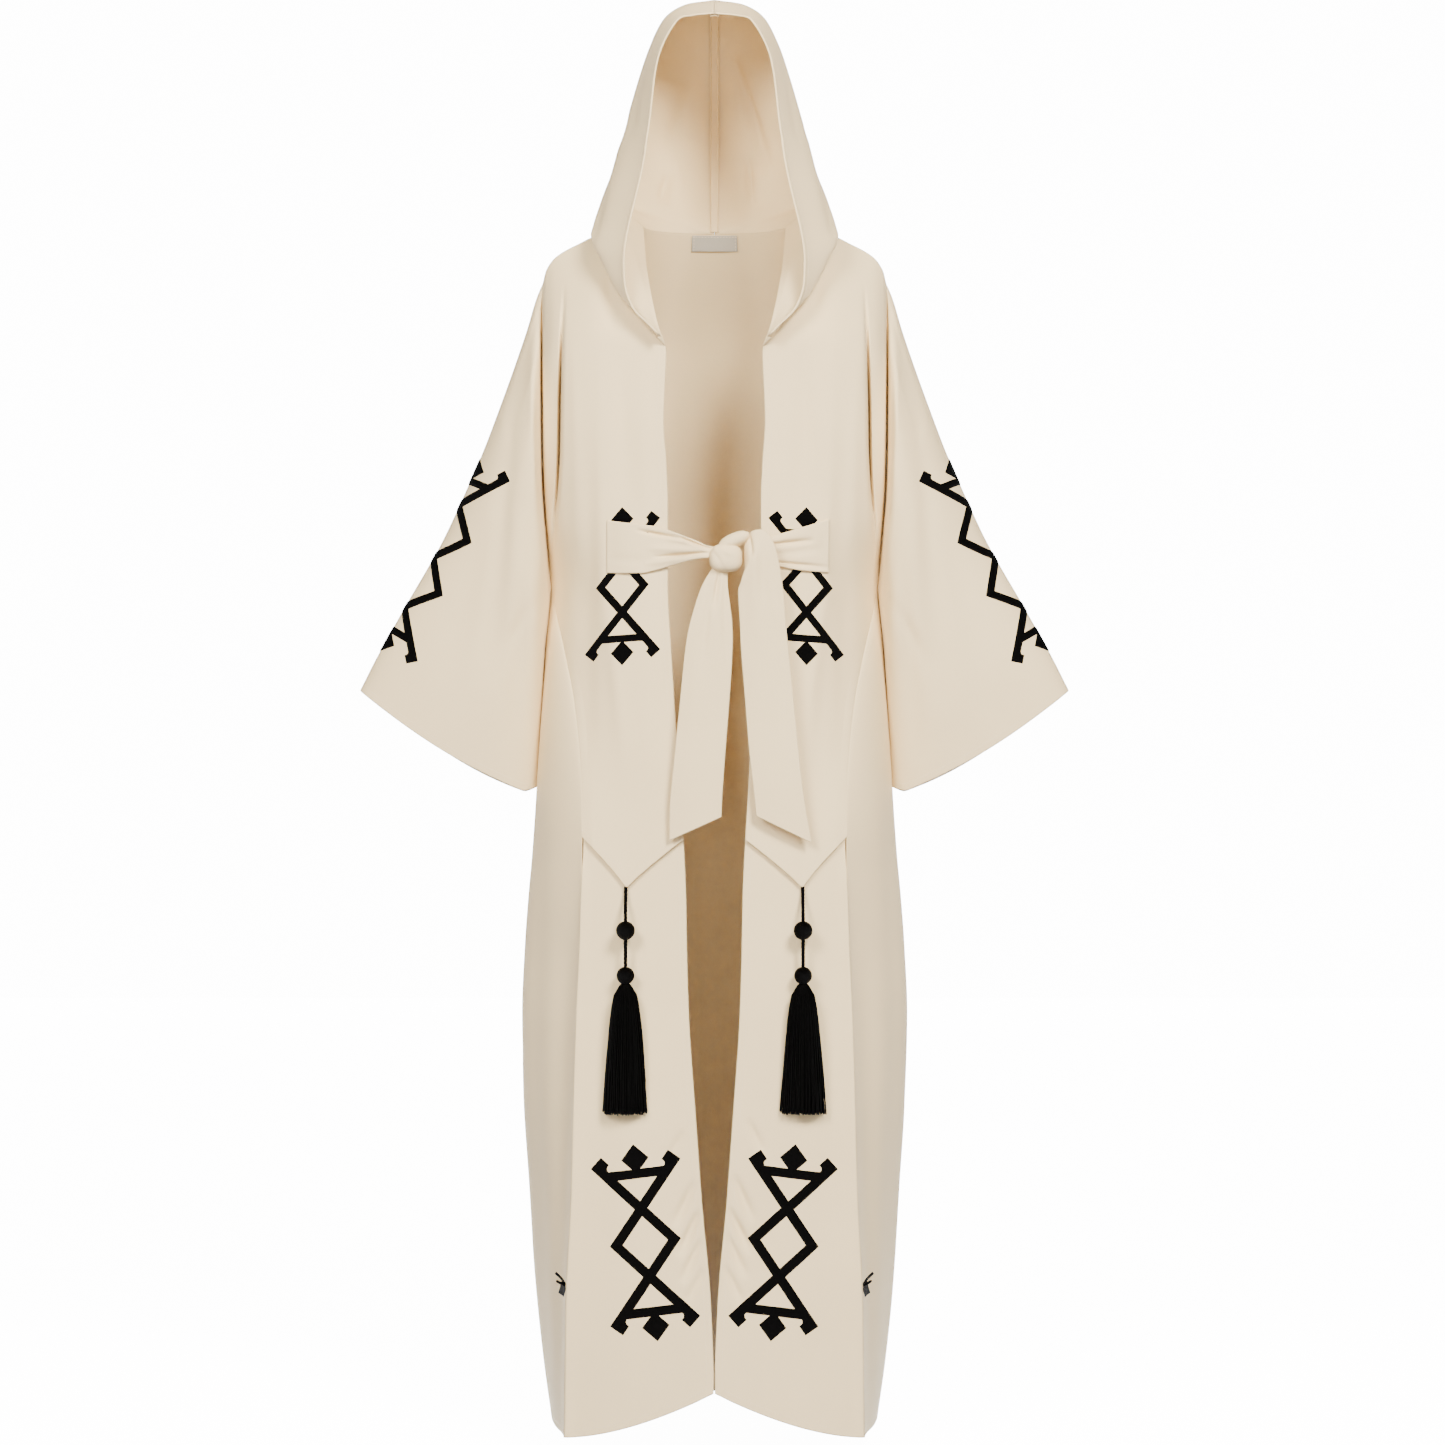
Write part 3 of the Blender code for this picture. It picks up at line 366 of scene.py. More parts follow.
def resampled(points, count):
    """The same line with evenly spaced points."""
    travelled = along_line(points)
    at = np.linspace(0, travelled[-1], count)
    return np.stack([np.interp(at, travelled, column) for column in points.T], axis=-1)


def tube(centres, radius, sides):
    """A tube with pointed closed ends round a line of points: its points, faces and places."""
    forward = unit(np.gradient(centres, axis=0))
    side = np.zeros_like(centres)
    last = np.array([0.0, -1.0, 0.0])
    for row, direction in enumerate(forward):
        last = unit(last - direction * (last @ direction))
        side[row] = last
    up = np.cross(forward, side)
    turn = 2 * math.pi * np.arange(sides + 1) / sides
    ring = np.cos(turn)[:, None] * side[:, None] + np.sin(turn)[:, None] * up[:, None]
    rings = centres[:, None] + radius * ring
    ends = centres[[0, -1]] + forward[[0, -1]] * np.array([[-0.5], [0.5]]) * radius
    place = np.stack(np.broadcast_arrays(along_line(centres)[:, None], turn[None] * radius), axis=-1)
    return capped_rings(rings[:, :-1], ends, place)


def ring_numbers(rows, sides):
    """Numbers of points that lie in rings, each with its first number again at the end."""
    number = np.arange(rows * sides).reshape(rows, sides)
    return np.concatenate([number, number[:, :1]], axis=1)


def capped_rings(rings, ends, place):
    """Points, faces and places of a row of rings that is closed to a point at both ends."""
    rows, sides = rings.shape[:2]
    number = ring_numbers(rows, sides)
    faces, places = grid_faces(number, place)
    for row, end in ((0, rows * sides), (-1, rows * sides + 1)):
        pair, ends_there = [number[row, :-1], number[row, 1:]], np.full(sides, end)
        faces = np.concatenate([faces, np.stack([*pair[:: row or 1], ends_there, ends_there], axis=-1)])
        places = np.concatenate([places, place[row, :-1][:, None].repeat(4, axis=1)])
    return np.concatenate([rings.reshape(-1, 3), ends]), faces, places


def grid_faces(number, place):
    """Four-cornered faces of a grid of point numbers, and their corners' places."""

    def corners(grid):
        return np.stack([grid[:-1, :-1], grid[1:, :-1], grid[1:, 1:], grid[:-1, 1:]], axis=2)

    return corners(number).reshape(-1, 4), corners(place).reshape(-1, 4, 2)


def eased_through(first, last, leaving, arriving, part):
    """The curve from a first value to a last one with these slopes, at parts from 0 to 1."""
    start, end = first * (1 + 2 * part) * (1 - part) ** 2, last * part**2 * (3 - 2 * part)
    return start + end + leaving * part * (1 - part) ** 2 - arriving * part**2 * (1 - part)


def smoothed(points, at):
    """Points of a smooth curve through rows of points, at places counted in rows."""
    points = np.asarray(points, dtype=float)
    shape = (-1,) + (1,) * (points.ndim - 1)
    slopes = np.gradient(points, axis=0)
    left = np.clip(np.floor(at).astype(int), 0, len(points) - 2)
    part = (np.asarray(at) - left).reshape(shape)
    return eased_through(points[left], points[left + 1], slopes[left], slopes[left + 1], part)


def joined(parts):
    """Several parts' points, faces and places as one."""
    firsts = np.cumsum([0] + [len(points) for points, _, _ in parts])
    points = np.concatenate([part[0] for part in parts])
    faces = np.concatenate([part[1] + first for part, first in zip(parts, firsts)])
    return points, faces, np.concatenate([part[2] for part in parts])


cord_line = np.stack(np.broadcast_arrays(CORD_X, CORD_ROUTE["y"], CORD_ROUTE["z"]), axis=-1)
cord_fine = resampled(smoothed(cord_line, np.linspace(0, len(cord_line) - 1, 200)), CORD_STEPS)
CORD_THREAD = thread_material("black_cord_thread", 1600.0, 900.0, 0.0003, 0.55)
cords = []
for side, name in SIDES:
    centre = cord_fine * np.array([side, 1, 1])
    forward = unit(np.gradient(centre, axis=0))
    across = np.broadcast_to([1.0, 0.0, 0.0], centre.shape)
    over = np.cross(forward, across)
    plies = []
    for ply in range(PLIES):
        turn = 2 * math.pi * (along_line(centre) / PLY_LAY + ply / PLIES)[:, None]
        line = centre + PLY_OFF_CENTRE * (np.cos(turn) * across + np.sin(turn) * over)
        plies.append(tube(line, PLY_RADIUS, PLY_SIDES))
    cord = add_piece(f"twisted_cord_{name}", *joined(plies), CORD_THREAD)
    cords.append((fit(cord, "black_thread", f"tassel_cord_{name}"), centre, name))

# The beads: wooden balls covered with black thread that runs over them from bore to bore. The upper
# one slides on the cord, and the lower one sits on top of the tassel.
BEADS = table("z radius", (-835.4, 10.9), (-887.9, 10.3))
BEAD_BORE = 0.0028
BEAD_THREADS = 34
BEAD_THREAD_RELIEF = 0.00022
BEAD_SEGMENTS = BEAD_THREADS * 4
BEAD_RINGS = 22
BEAD_THREAD = thread_material("black_bead_thread", 2600.0, 0.0, 0.0002, 0.42)


def round_ways(rise, turn):
    """Directions out from a middle, by how far they rise and how far they turn."""
    flat = np.cos(rise)
    return np.stack(np.broadcast_arrays(flat * np.cos(turn), flat * np.sin(turn), np.sin(rise)), axis=-1)


def bead_mesh(side, height, radius):
    """A ball with a bore, ribbed by the threads that cover it."""
    edge = math.acos(BEAD_BORE / radius)
    rise = np.linspace(edge, -edge, BEAD_RINGS)[:, None]
    turn = (2 * math.pi * np.arange(BEAD_SEGMENTS + 1) / BEAD_SEGMENTS)[None]
    ribs = np.abs(np.sin(BEAD_THREADS * turn / 2)) ** 0.6 - 0.7
    reach = radius + BEAD_THREAD_RELIEF * ribs * np.cos(rise) ** 1.5
    grid = reach[..., None] * round_ways(rise, turn) + np.array([side * CORD_X, CORD_HANG_Y, height])
    number = ring_numbers(BEAD_RINGS, BEAD_SEGMENTS)
    number = np.concatenate([number, number[:1]], axis=0)
    place = np.stack(np.broadcast_arrays(rise * radius, turn * radius), axis=-1)
    place = np.concatenate([place, place[-1:]], axis=0)
    return grid[:, :-1].reshape(-1, 3), *grid_faces(number, place)


beads = {}
for side, name in SIDES:
    for (height, radius), place in zip(zip(*BEADS.values()), ("upper", "lower")):
        ball = add_piece(f"thread_bead_{place}_{name}", *bead_mesh(side, height, radius), BEAD_THREAD)
        beads.setdefault(name, []).append(fit(ball, "black_thread", f"bead_{place}_{name}"))

# The tassels: several hundred cut viscose threads, doubled over the cord's end and bound under the
# lower bead. They round out at once and spread a little towards their uneven cut ends.
TASSEL_THREADS = 460
TASSEL = {
    "Root": 0.0065, "Wide": 0.0262, "Deep": 0.0180, "Top": -0.9000, "Drop": 0.1500, "Radius": 0.00072,
    "Top y": CORD_HANG_Y, "End y": -0.1388,
}
TASSEL_ROUNDING = 0.42
THREAD_STEPS = 14
THREAD_DRAWS = (("cut", 0.965, 1.0), ("stray", -1.0, 1.0), ("wave", 0.0, 6.28))
THREAD_FIELDS = ("ring", "turn", "cut", "stray", "wave")
GOLDEN_TURN = math.pi * (3 - math.sqrt(5))
SWAY = 0.0007
SWAY_TURN = 5.0
STRAY = 0.0016
TASSEL_DOME = 0.004
TASSEL_SEED = 4
TASSEL_THREAD = thread_material("black_tassel_thread", 900.0, 0.0, 0.0002, 0.46)


def tassel_tree():
    """Threads hung in a sunflower pattern from a root disc to a wider, oval hem."""
    inputs = [("Geometry", "Geometry", None), ("Threads", "Int", TASSEL_THREADS)]
    inputs += [(label, "Float", 0.0) for label in (*TASSEL, "Side")]
    inputs += [("Seed", "Int", TASSEL_SEED), ("Material", "Material", None)]
    tree, given, end = node_group("tassel_threads", "GeometryNodeTree", inputs, [("Geometry", "Geometry")])
    do = partial(maths, tree)
    number = node(tree, "GeometryNodeInputIndex").outputs[0]
    named = node(tree, "GeometryNodePoints", {"Count": given["Threads"]}).outputs[0]
    share = do("DIVIDE", do("ADD", number, 0.5), given["Threads"])
    fields = {"ring": do("SQRT", share), "turn": do("MULTIPLY", number, GOLDEN_TURN)}
    for offset, (label, low, high) in enumerate(THREAD_DRAWS):
        values = {2: low, 3: high, "Seed": do("ADD", given["Seed"], float(offset))}
        fields[label] = node(tree, "FunctionNodeRandomValue", values, data_type="FLOAT").outputs[1]
    for label, value in fields.items():
        values = {"Geometry": named, "Name": label, "Value": value}
        named = node(tree, "GeometryNodeStoreNamedAttribute", values).outputs[0]
    values = {"Count": THREAD_STEPS, "Offset": (0, 0, 1 / (THREAD_STEPS - 1))}
    strand = node(tree, "GeometryNodeMeshLine", values).outputs[0]
    placed = node(tree, "GeometryNodeInstanceOnPoints", {"Points": named, "Instance": strand}).outputs[0]
    real = node(tree, "GeometryNodeRealizeInstances", {0: placed}).outputs[0]
    read = {}
    for label in fields:
        attribute = node(tree, "GeometryNodeInputNamedAttribute", {"Name": label}, data_type="FLOAT")
        read[label] = attribute.outputs[0]
    place = node(tree, "GeometryNodeInputPosition").outputs[0]
    down = node(tree, "ShaderNodeSeparateXYZ", {0: place}).outputs["Z"]
    spread = do("POWER", down, TASSEL_ROUNDING)
    sway = do("SINE", do("MULTIPLY_ADD", down, SWAY_TURN, read["wave"]))
    sway = do("MULTIPLY", do("MULTIPLY", sway, SWAY), down)
    stray = do("MULTIPLY", do("POWER", down, 3.0), do("MULTIPLY", read["stray"], STRAY))
    loose = do("ADD", stray, sway)

    def reach(most, angle):
        radius = do("MULTIPLY_ADD", do("SUBTRACT", most, given["Root"]), spread, given["Root"])
        return do("MULTIPLY", do("MULTIPLY_ADD", radius, read["ring"], loose), angle)

    x = do("ADD", given["Side"], reach(given["Wide"], do("COSINE", read["turn"])))
    y = do("MULTIPLY_ADD", do("SUBTRACT", given["End y"], given["Top y"]), down, given["Top y"])
    y = do("ADD", y, reach(given["Deep"], do("SINE", read["turn"])))
    inner = do("SUBTRACT", 1.0, do("MULTIPLY", read["ring"], read["ring"]))
    lift = do("MULTIPLY", do("MULTIPLY", inner, TASSEL_DOME), do("SUBTRACT", 1.0, down))
    fallen = do("MULTIPLY", do("MULTIPLY", given["Drop"], read["cut"]), down)
    z = do("ADD", do("SUBTRACT", given["Top"], fallen), lift)
    place = node(tree, "ShaderNodeCombineXYZ", {0: x, 1: y, 2: z}).outputs[0]
    moved = node(tree, "GeometryNodeSetPosition", {"Geometry": real, "Position": place}).outputs[0]
    lines = node(tree, "GeometryNodeMeshToCurve", {"Mesh": moved}).outputs[0]
    ring = node(tree, "GeometryNodeCurvePrimitiveCircle", {"Resolution": 4, "Radius": given["Radius"]})
    values = {"Curve": lines, "Profile Curve": ring.outputs[0], "Fill Caps": True}
    solid = node(tree, "GeometryNodeCurveToMesh", values).outputs[0]
    closed = node(tree, "GeometryNodeMergeByDistance", {"Geometry": solid, "Distance": 1e-7}).outputs[0]
    close_tree(tree, closed, given, end)
    return tree


def close_tree(tree, made, given, end):
    """Ends a tree: its instances made real and its material set."""
    done = node(tree, "GeometryNodeRealizeInstances", {0: made}).outputs[0]
    values = {"Geometry": done, "Material": given["Material"]}
    tree.links.new(node(tree, "GeometryNodeSetMaterial", values).outputs[0], end.inputs[0])


def grown(name, tree, values, base=None):
    """The plain mesh that a Geometry Nodes tree makes from its named inputs, as a new object."""
    holder = base or bpy.data.meshes.new(f"{name}_base")
    seed = bpy.data.objects.new(f"{name}_seed", holder)
    bpy.context.scene.collection.objects.link(seed)
    modifier = seed.modifiers.new(name, "NODES")
    modifier.node_group = tree
    sockets = {item.name: item.identifier for item in tree.interface.items_tree if item.in_out == "INPUT"}
    for label, value in values.items():
        modifier[sockets[label]] = value
    made = bpy.data.meshes.new_from_object(seed.evaluated_get(bpy.context.evaluated_depsgraph_get()))
    made.name = name
    for extra in [item.name for item in made.attributes if item.name in THREAD_FIELDS]:
        made.attributes.remove(made.attributes[extra])
    bpy.data.objects.remove(seed, do_unlink=True)
    bpy.data.meshes.remove(holder)
    piece = bpy.data.objects.new(name, made)
    bpy.context.scene.collection.objects.link(piece)
    return piece


TASSEL_TREE = tassel_tree()
tassels = {}
for side, name in SIDES:
    values = {**TASSEL, "Threads": TASSEL_THREADS, "Side": side * CORD_X}
    values.update({"Seed": TASSEL_SEED + side, "Material": TASSEL_THREAD})
    tassel = grown(f"tassel_threads_{name}", TASSEL_TREE, values)
    tassel.data.shade_smooth()
    tassels[name] = fit(tassel, "black_thread", f"tassel_{name}")

for cord, centre, name in cords:
    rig.cord(
        cord, exit=centre[0], length=CORD_LENGTH, diameter=CORD_DIAMETER, far_end="fitting",
        stiffness="limp", lay="hanging", path=centre.tolist(), with_pieces=[*beads[name], tassels[name]],
    )

# The upper fronts: two panels of heavy cream crepe from the shoulder to a pointed hem, which hang free
# over the lower fronts. Every free edge is turned under and topstitched, and the seams are pressed.
CREPE = (0.780, 0.610, 0.350)
CLOTH = 0.0013
HEM_WIDTH = 0.0085
HEM_LIFT = 0.00012
HEM_BACK = 0.0008
HEM_STEP = 0.0009
STITCH_IN = 0.0072
STITCH_DENT = 0.00009
STITCH_DENT_WIDTH = 0.0008
SEAM_DIP = 0.00015
ROLL = 0.0003
ROLL_IN = 0.0016
ROLL_WIDTH = 0.0018
SEAM_WIDTH = 0.0016
SEAM_GAP = 0.00005
UNDERARM = -0.430
SIDE_HEM = -1.424
HEM_RISE = 0.053
HEM_CURVE = 1.6
POINT_TOP = -0.660
POINT_FRONT_END = -0.7285
POINT_SIDE_END = -0.725
POINT_TIP = -0.785
TIP_PLACE = 0.56
POINT_CURVE = 0.86
POINT_TIP_ROUND = 0.03
SHOULDER_ROUND = 0.146
NECK_HALF_WIDTH = 0.085
NECK_BACK = 0.065
CROWN = 3.0

WIDTHS = table(
    "z opening fold side",
    (0, 85, 206.5, 206.5), (-30, 82.5, 206.5, 206.5), (-56, 80, 206.5, 206.5),
    (-83, 75.7, 206.5, 206.5), (-108, 70.6, 206.3, 206.3), (-133, 64.6, 206.2, 206.2),
    (-156, 57.5, 206, 206), (-192, 58.8, 205.8, 205.8), (-239, 60.6, 205.6, 205.6),
    (-286, 57.6, 205, 205), (-333, 55.7, 202.5, 202.5), (-430, 55.7, 195, 198.5),
    (-508, 51.7, 178, 203), (-567, 48, 166, 207), (-626, 43.5, 159, 211), (-685, 40, 155.6, 214.5),
    (-754, 36, 155.6, 219.5), (-801, 34.1, 157.1, 224), (-860, 33.1, 159, 228.5),
    (-940, 30.5, 162.5, 232), (-1032, 24.2, 165.2, 229.5), (-1148, 15.5, 168, 220.5),
    (-1264, 4.5, 173.6, 212), (-1356, 0.8, 174.8, 203), (-1424, 0.6, 175.4, 194.5),
)
DEPTHS = table(
    "z front front_fold back_fold back pleat",
    (0, 112, 62, 62, 100, 2000), (-150, 112, 66, 66, 112, 2000), (-250, 113, 66, 64, 118, 2000),
    (-350, 113, 52, 52, 114, 2000), (-430, 114, 20, 20, 110, 2000), (-500, 116, 50, 50, 112, 1500),
    (-600, 119, 85, 88, 118, 1600), (-725, 124, 112, 112, 128, 2100), (-900, 134, 122, 130, 145, 3000),
    (-1150, 152, 138, 148, 168, 3000), (-1424, 172, 152, 165, 190, 3000),
)
SHOULDER = table(
    "x z",
    (85, 0), (120, -3), (148, -11), (160, -17), (190, -34), (202, -50), (206.5, -67),
)
CHEST_FOLDS = table(
    "place top bottom half_width depth",
    (300, -150, -360, 90, 3), (560, -120, -640, 80, -3),
)
SEAM_TRIES = 8
VALLEY_FADE = 0.02
# Each valley: its line and depth, then the half widths of its slit and of its slope on the body's side
# and on the sleeve's, and the slope's share of the depth.
VALLEYS = (
    (
        table(
            "z x depth",
            (-66, 206.4, 0), (-100, 206, 11), (-150, 205.8, 30), (-230, 205.4, 36), (-310, 204.2, 34),
            (-370, 200, 18), (-424, 195.6, 0),
        ),
        (0.0016, 0.0014), (0.0120, 0.0060),
        0.30,
    ),
    (
        table(
            "z x depth",
            (-75, 178, 0), (-120, 180, 8), (-170, 181.6, 25), (-220, 183, 40), (-265, 183.6, 40),
            (-310, 185.6, 27), (-352, 189.5, 13), (-410, 196, 0),
        ),
        (0.0012, 0.0016), (0.0030, 0.0150),
        0.34,
    ),
)


def crepe_grain_group():
    """The pebbled face of crepe: crinkled threads both ways, and slow changes of tone."""
    inputs = [("Threads per metre", "Float", 1500.0)]
    outputs = [("Height", "Float"), ("Tone", "Float")]
    group, given, end = node_group("crepe_grain", "ShaderNodeTree", inputs, outputs)
    flat, space = in_metres(group)
    both = []
    for stretch in ((1.0, 0.22, 1.0), (0.22, 1.0, 1.0)):
        fitted = node(group, "ShaderNodeVectorMath", {0: flat, 1: stretch}, operation="MULTIPLY")
        both.append(noise(group, fitted.outputs[0], given[0], 2.0, Roughness=0.6))
    threads = maths(group, "MAXIMUM", *both)
    height = maths(group, "MULTIPLY_ADD", noise(group, space, 420.0, 2.0), 0.45, threads)
    feed(group, end, {"Height": height, "Tone": noise(group, space, 7.0, 3.0)})
    return group


CREPE_GRAIN = crepe_grain_group()


def cloth_material(name, colour, threads, bump, roughness, sheen):
    """A matt cloth with painted shade in the pits of its grain and a painted highlight on its crests, a slow random
    change of tone, and a soft bloom at grazing angles.
    """
    made, tree, shader = new_material(name)
    height, tone = node(tree, "ShaderNodeGroup", {0: threads}, node_tree=CREPE_GRAIN).outputs
    # Painted shade: the base colour darkens where the grain's height is low, between the threads, and lightens on its
    # crests.
    painted_pit_shade = ranged(tree, height, -0.2, 0.25, 0.5, 1.0)
    share = maths(tree, "ADD", ranged(tree, tone, 0.25, 0.75, 0.3, 0.7), painted_pit_shade)
    look = {
        "Base Color": two_tones(tree, share, colour, 0.93, 1.05),
        "Roughness": ranged(tree, height, roughness, roughness - 0.1, 0.4, 1.0),
        "Normal": bumped(tree, height, bump, 0.5),
        "Specular IOR Level": 0.15,
        "Sheen Weight": sheen,
        "Sheen Roughness": 0.5,
        "Sheen Tint": (1.0, 0.95, 0.88, 1.0),
    }
    feed(tree, shader, look)
    return made


CREPE_CLOTH = cloth_material("cream_crepe", CREPE, 1500.0, 0.00016, 0.85, 0.03)


def smooth(at, places, values):
    """A curve with no overshoot through values at rising or falling places, read at each `at`."""
    order = np.argsort(places)
    places, values = np.asarray(places)[order], np.asarray(values)[order]
    at = np.clip(at, places[0], places[-1])
    steps = np.diff(places)
    rises = np.diff(values) / steps
    slopes = np.concatenate([rises[:1], np.zeros(len(rises) - 1), rises[-1:]])
    same = rises[:-1] * rises[1:] > 0
    before, after = rises[:-1][same], rises[1:][same]
    slopes[1:-1][same] = 2 * before * after / (before + after)
    left = np.clip(np.searchsorted(places, at) - 1, 0, len(steps) - 1)
    step, part = steps[left], (at - places[left]) / steps[left]
    return eased_through(values[left], values[left + 1], step * slopes[left], step * slopes[left + 1], part)


def look_up(columns, name, at):
    """One column of a table, read smoothly between the places in its first column."""
    return smooth(at, next(iter(columns.values())), columns[name])


def ramp(values, width=1.0):
    """A rise from 0 to 1 over the width, and even beyond."""
    return np.clip(values / width, 0, 1)


def eased(share):
    return share**2 * (3 - 2 * share)


def body_width(name, z):
    return look_up(WIDTHS, name, z)


def body_depth(name, z):
    return look_up(DEPTHS, name, z)


def shoulder_rounding(top, z):
    return np.sin(math.pi / 2 * ramp(top - z, SHOULDER_ROUND))


def chest_folds(place, z):
    """How far the upper front's broad folds sink in at each place."""
    depth = 0.0
    for fold_place, top, bottom, half_width, most in zip(*CHEST_FOLDS.values()):
        across = np.exp(-(((place - fold_place) / half_width) ** 2))
        along = ramp(top - z, top - bottom)
        depth = depth + most * across * np.sin(math.pi * along) ** 0.7
    return depth


def armhole_valleys(points):
    """How far back the two deep folds beside the armhole seam draw the cloth, on body and sleeve alike."""
    x, y, z = points[..., 0], points[..., 1], points[..., 2]
    depth = 0.0
    for line, slit, slope, share in VALLEYS:
        off = x - look_up(line, "x", z)
        sharp, soft = (np.exp(-((off / np.where(off < 0, *widths)) ** 2)) for widths in (slit, slope))
        depth = depth + look_up(line, "depth", z) * ((1 - share) * sharp + share * soft)
    return depth * ramp(-y, VALLEY_FADE)


def front_surface(place, z, top=0.0):
    """The front's points: place runs from the opening, 0, to the fold or the armhole, 1."""
    opening, fold = body_width("opening", z), body_width("fold", z)
    edge, side = body_depth("front", z), body_depth("front_fold", z)
    reach = side + (edge - side) * (1 - place**CROWN)
    y = -reach * shoulder_rounding(top, z) + chest_folds(place, z)
    points = np.stack([opening + (fold - opening) * place, y, z], axis=-1)
    points[..., 1] += armhole_valleys(points)
    return points


def gore_surface(place, z):
    """The side's points: place runs from the front fold, 0, to the back fold, 1."""
    fold, side = body_width("fold", z), body_width("side", z)
    turn = math.pi * place
    x = fold + (side - fold) * np.sin(turn) ** body_depth("pleat", z)
    reach = np.where(place < 0.5, body_depth("front_fold", z), body_depth("back_fold", z))
    return np.stack([x, -reach * np.cos(turn), z], axis=-1)


def back_surface(place, z, top, top_y):
    """The back's points: place runs from the centre, 0, to the back fold or the armhole, 1."""
    centre, side = body_depth("back", z), body_depth("back_fold", z)
    reach = side + (centre - side) * (1 - place**CROWN)
    y = top_y + (reach - top_y) * shoulder_rounding(top, z)
    return np.stack([body_width("fold", z) * place, y, z], axis=-1)


def shoulder_seam(columns):
    """Places along the shoulder seam, as x and z, for the front's columns."""
    columns = np.array(columns)
    z = np.zeros(len(columns))
    for _ in range(SEAM_TRIES):
        x = body_width("opening", z) + (body_width("fold", z) - body_width("opening", z)) * columns
        z = look_up(SHOULDER, "z", x)
    return x, z


def between(start, end, step):
    """Even places from start to end, about a step apart."""
    return np.linspace(start, end, int(round(abs(end - start) / step)) + 1)


EDGE_STEPS = np.array([0.0, 0.0012, 0.003, 0.0052, 0.0063, 0.0072, 0.0081, 0.0090, 0.0102, 0.0130])
PANEL_WIDTH = 0.150
FRONT_COLUMNS = np.concatenate(
    [
        EDGE_STEPS / PANEL_WIDTH,
        between(0.105, 0.770, 0.0170),
        [0.784, 0.797, 0.809, 0.819, 0.828],
        between(0.834, 0.906, 0.0025),
        between(0.912, 0.972, 0.0090),
        between(0.977, 1.0, 0.0025),
    ]
)
LOW_COLUMNS = np.concatenate([EDGE_STEPS / PANEL_WIDTH, between(0.104, 1.0, 0.0160)])
UPPER_STEP = 0.007 / 0.40
UPPER_SHARES = np.concatenate([[0.0, 0.003, 0.008], between(0.020, 1.0, UPPER_STEP)])
SIDE_ROWS = between(UNDERARM, POINT_TOP, 0.007)
POINT_DROP = POINT_TOP - POINT_TIP
POINT_SHARES = np.concatenate([between(0.0, 0.82, 0.05)[1:], 1 - EDGE_STEPS[::-1] * 1.45 / POINT_DROP])


def normals(points, round_columns=False):
    """Unit normals of a grid of points. Its rows run down and its columns run outwards."""
    if round_columns:
        across = np.roll(points, -1, axis=1) - np.roll(points, 1, axis=1)
    else:
        across = np.gradient(points, axis=1)
    return unit(np.cross(np.gradient(points, axis=0), across))


def panel(points, at, axis, sign=1):
    """A grid of points with normals that point along an axis, 0 to 2, at this place in the grid."""
    found = normals(points)
    return {"points": points, "normals": found * np.sign(sign * found[(*at, axis)])}


def share_normals(first, second):
    """The same end normals for two panels that meet smoothly or at a ridge."""
    first[:] = second[:] = unit(first + second)


def pointed_hem(place):
    """The pointed hem's height across the panel."""
    before = place < TIP_PLACE
    away = np.abs(place - TIP_PLACE) / np.where(before, TIP_PLACE, 1 - TIP_PLACE)
    away = np.sqrt(away**2 + POINT_TIP_ROUND**2) - POINT_TIP_ROUND
    end = np.where(before, POINT_FRONT_END, POINT_SIDE_END)
    return POINT_TIP + (end - POINT_TIP) * away**POINT_CURVE


def overlay_grid():
    place, (_, top) = FRONT_COLUMNS, shoulder_seam(FRONT_COLUMNS)
    rows = [front_surface(place, top + (UNDERARM - top) * share, top) for share in UPPER_SHARES]
    rows += [front_surface(place, np.full_like(place, z)) for z in SIDE_ROWS[1:]]
    bottom = pointed_hem(place)
    rows += [front_surface(place, POINT_TOP + (bottom - POINT_TOP) * share) for share in POINT_SHARES]
    return np.array(rows)


FROM_FRONT = [0, 2]
FROM_SIDE = [1, 2]


def creased(piece, axes, rows, where=1.0, seen=None):
    """Soft troughs, or ridges where the depth is negative. Each lies along a line, seen along an axis.

    A row holds the line's two ends, its half width and its depth, in millimetres."""
    across, down = np.moveaxis((piece["points"] if seen is None else seen)[..., axes], -1, 0)
    depth = np.zeros(across.shape)
    for across_0, down_0, across_1, down_1, width, most in THOUSANDTH * np.array(rows):
        run, fall = across_1 - across_0, down_1 - down_0
        part = ((across - across_0) * run + (down - down_0) * fall) / (run**2 + fall**2)
        inside = ramp(part)
        gap = np.hypot(across - across_0 - inside * run, down - down_0 - inside * fall)
        fade = np.sin(math.pi * ramp(0.5 + (part - 0.5) * 0.9)) ** 0.8
        depth += most * np.exp(-((gap / (width * (0.75 + 0.5 * inside))) ** 2)) * fade
    moved = piece["points"] - (depth * where)[..., None] * piece["normals"]
    found = normals(moved)
    found = found * np.sign((found * piece["normals"]).sum(-1, keepdims=True))
    kept = piece["normals"].copy()
    kept[1:-1, 1:-1] = found[1:-1, 1:-1]
    return {"points": moved, "normals": kept}


def mirrored(points, side):
    return points * np.array([side, 1, 1])


def away_from(points, lines):
    """Each point's distance to the nearest of several lines of points."""
    flat = points.reshape(-1, 3)
    nearest = np.full(len(flat), np.inf)
    for line in lines:
        for start, end in zip(line[:-1], line[1:]):
            step = end - start
            part = ramp((flat - start) @ step, max(step @ step, 1e-12))
            nearest = np.minimum(nearest, lengths(flat - start - part[:, None] * step)[:, 0])
    return nearest.reshape(points.shape[:-1])


ALL = slice(None)
EDGES = {"top": (0, ALL), "bottom": (-1, ALL), "start": (ALL, 0), "end": (ALL, -1)}
BESIDE = {"top": (1, ALL), "bottom": (-2, ALL), "start": (ALL, 1), "end": (ALL, -2)}


def rims(piece, *edges):
    """The lines of points on a piece's named edges."""
    return [piece["points"][EDGES[edge]] for edge in edges]


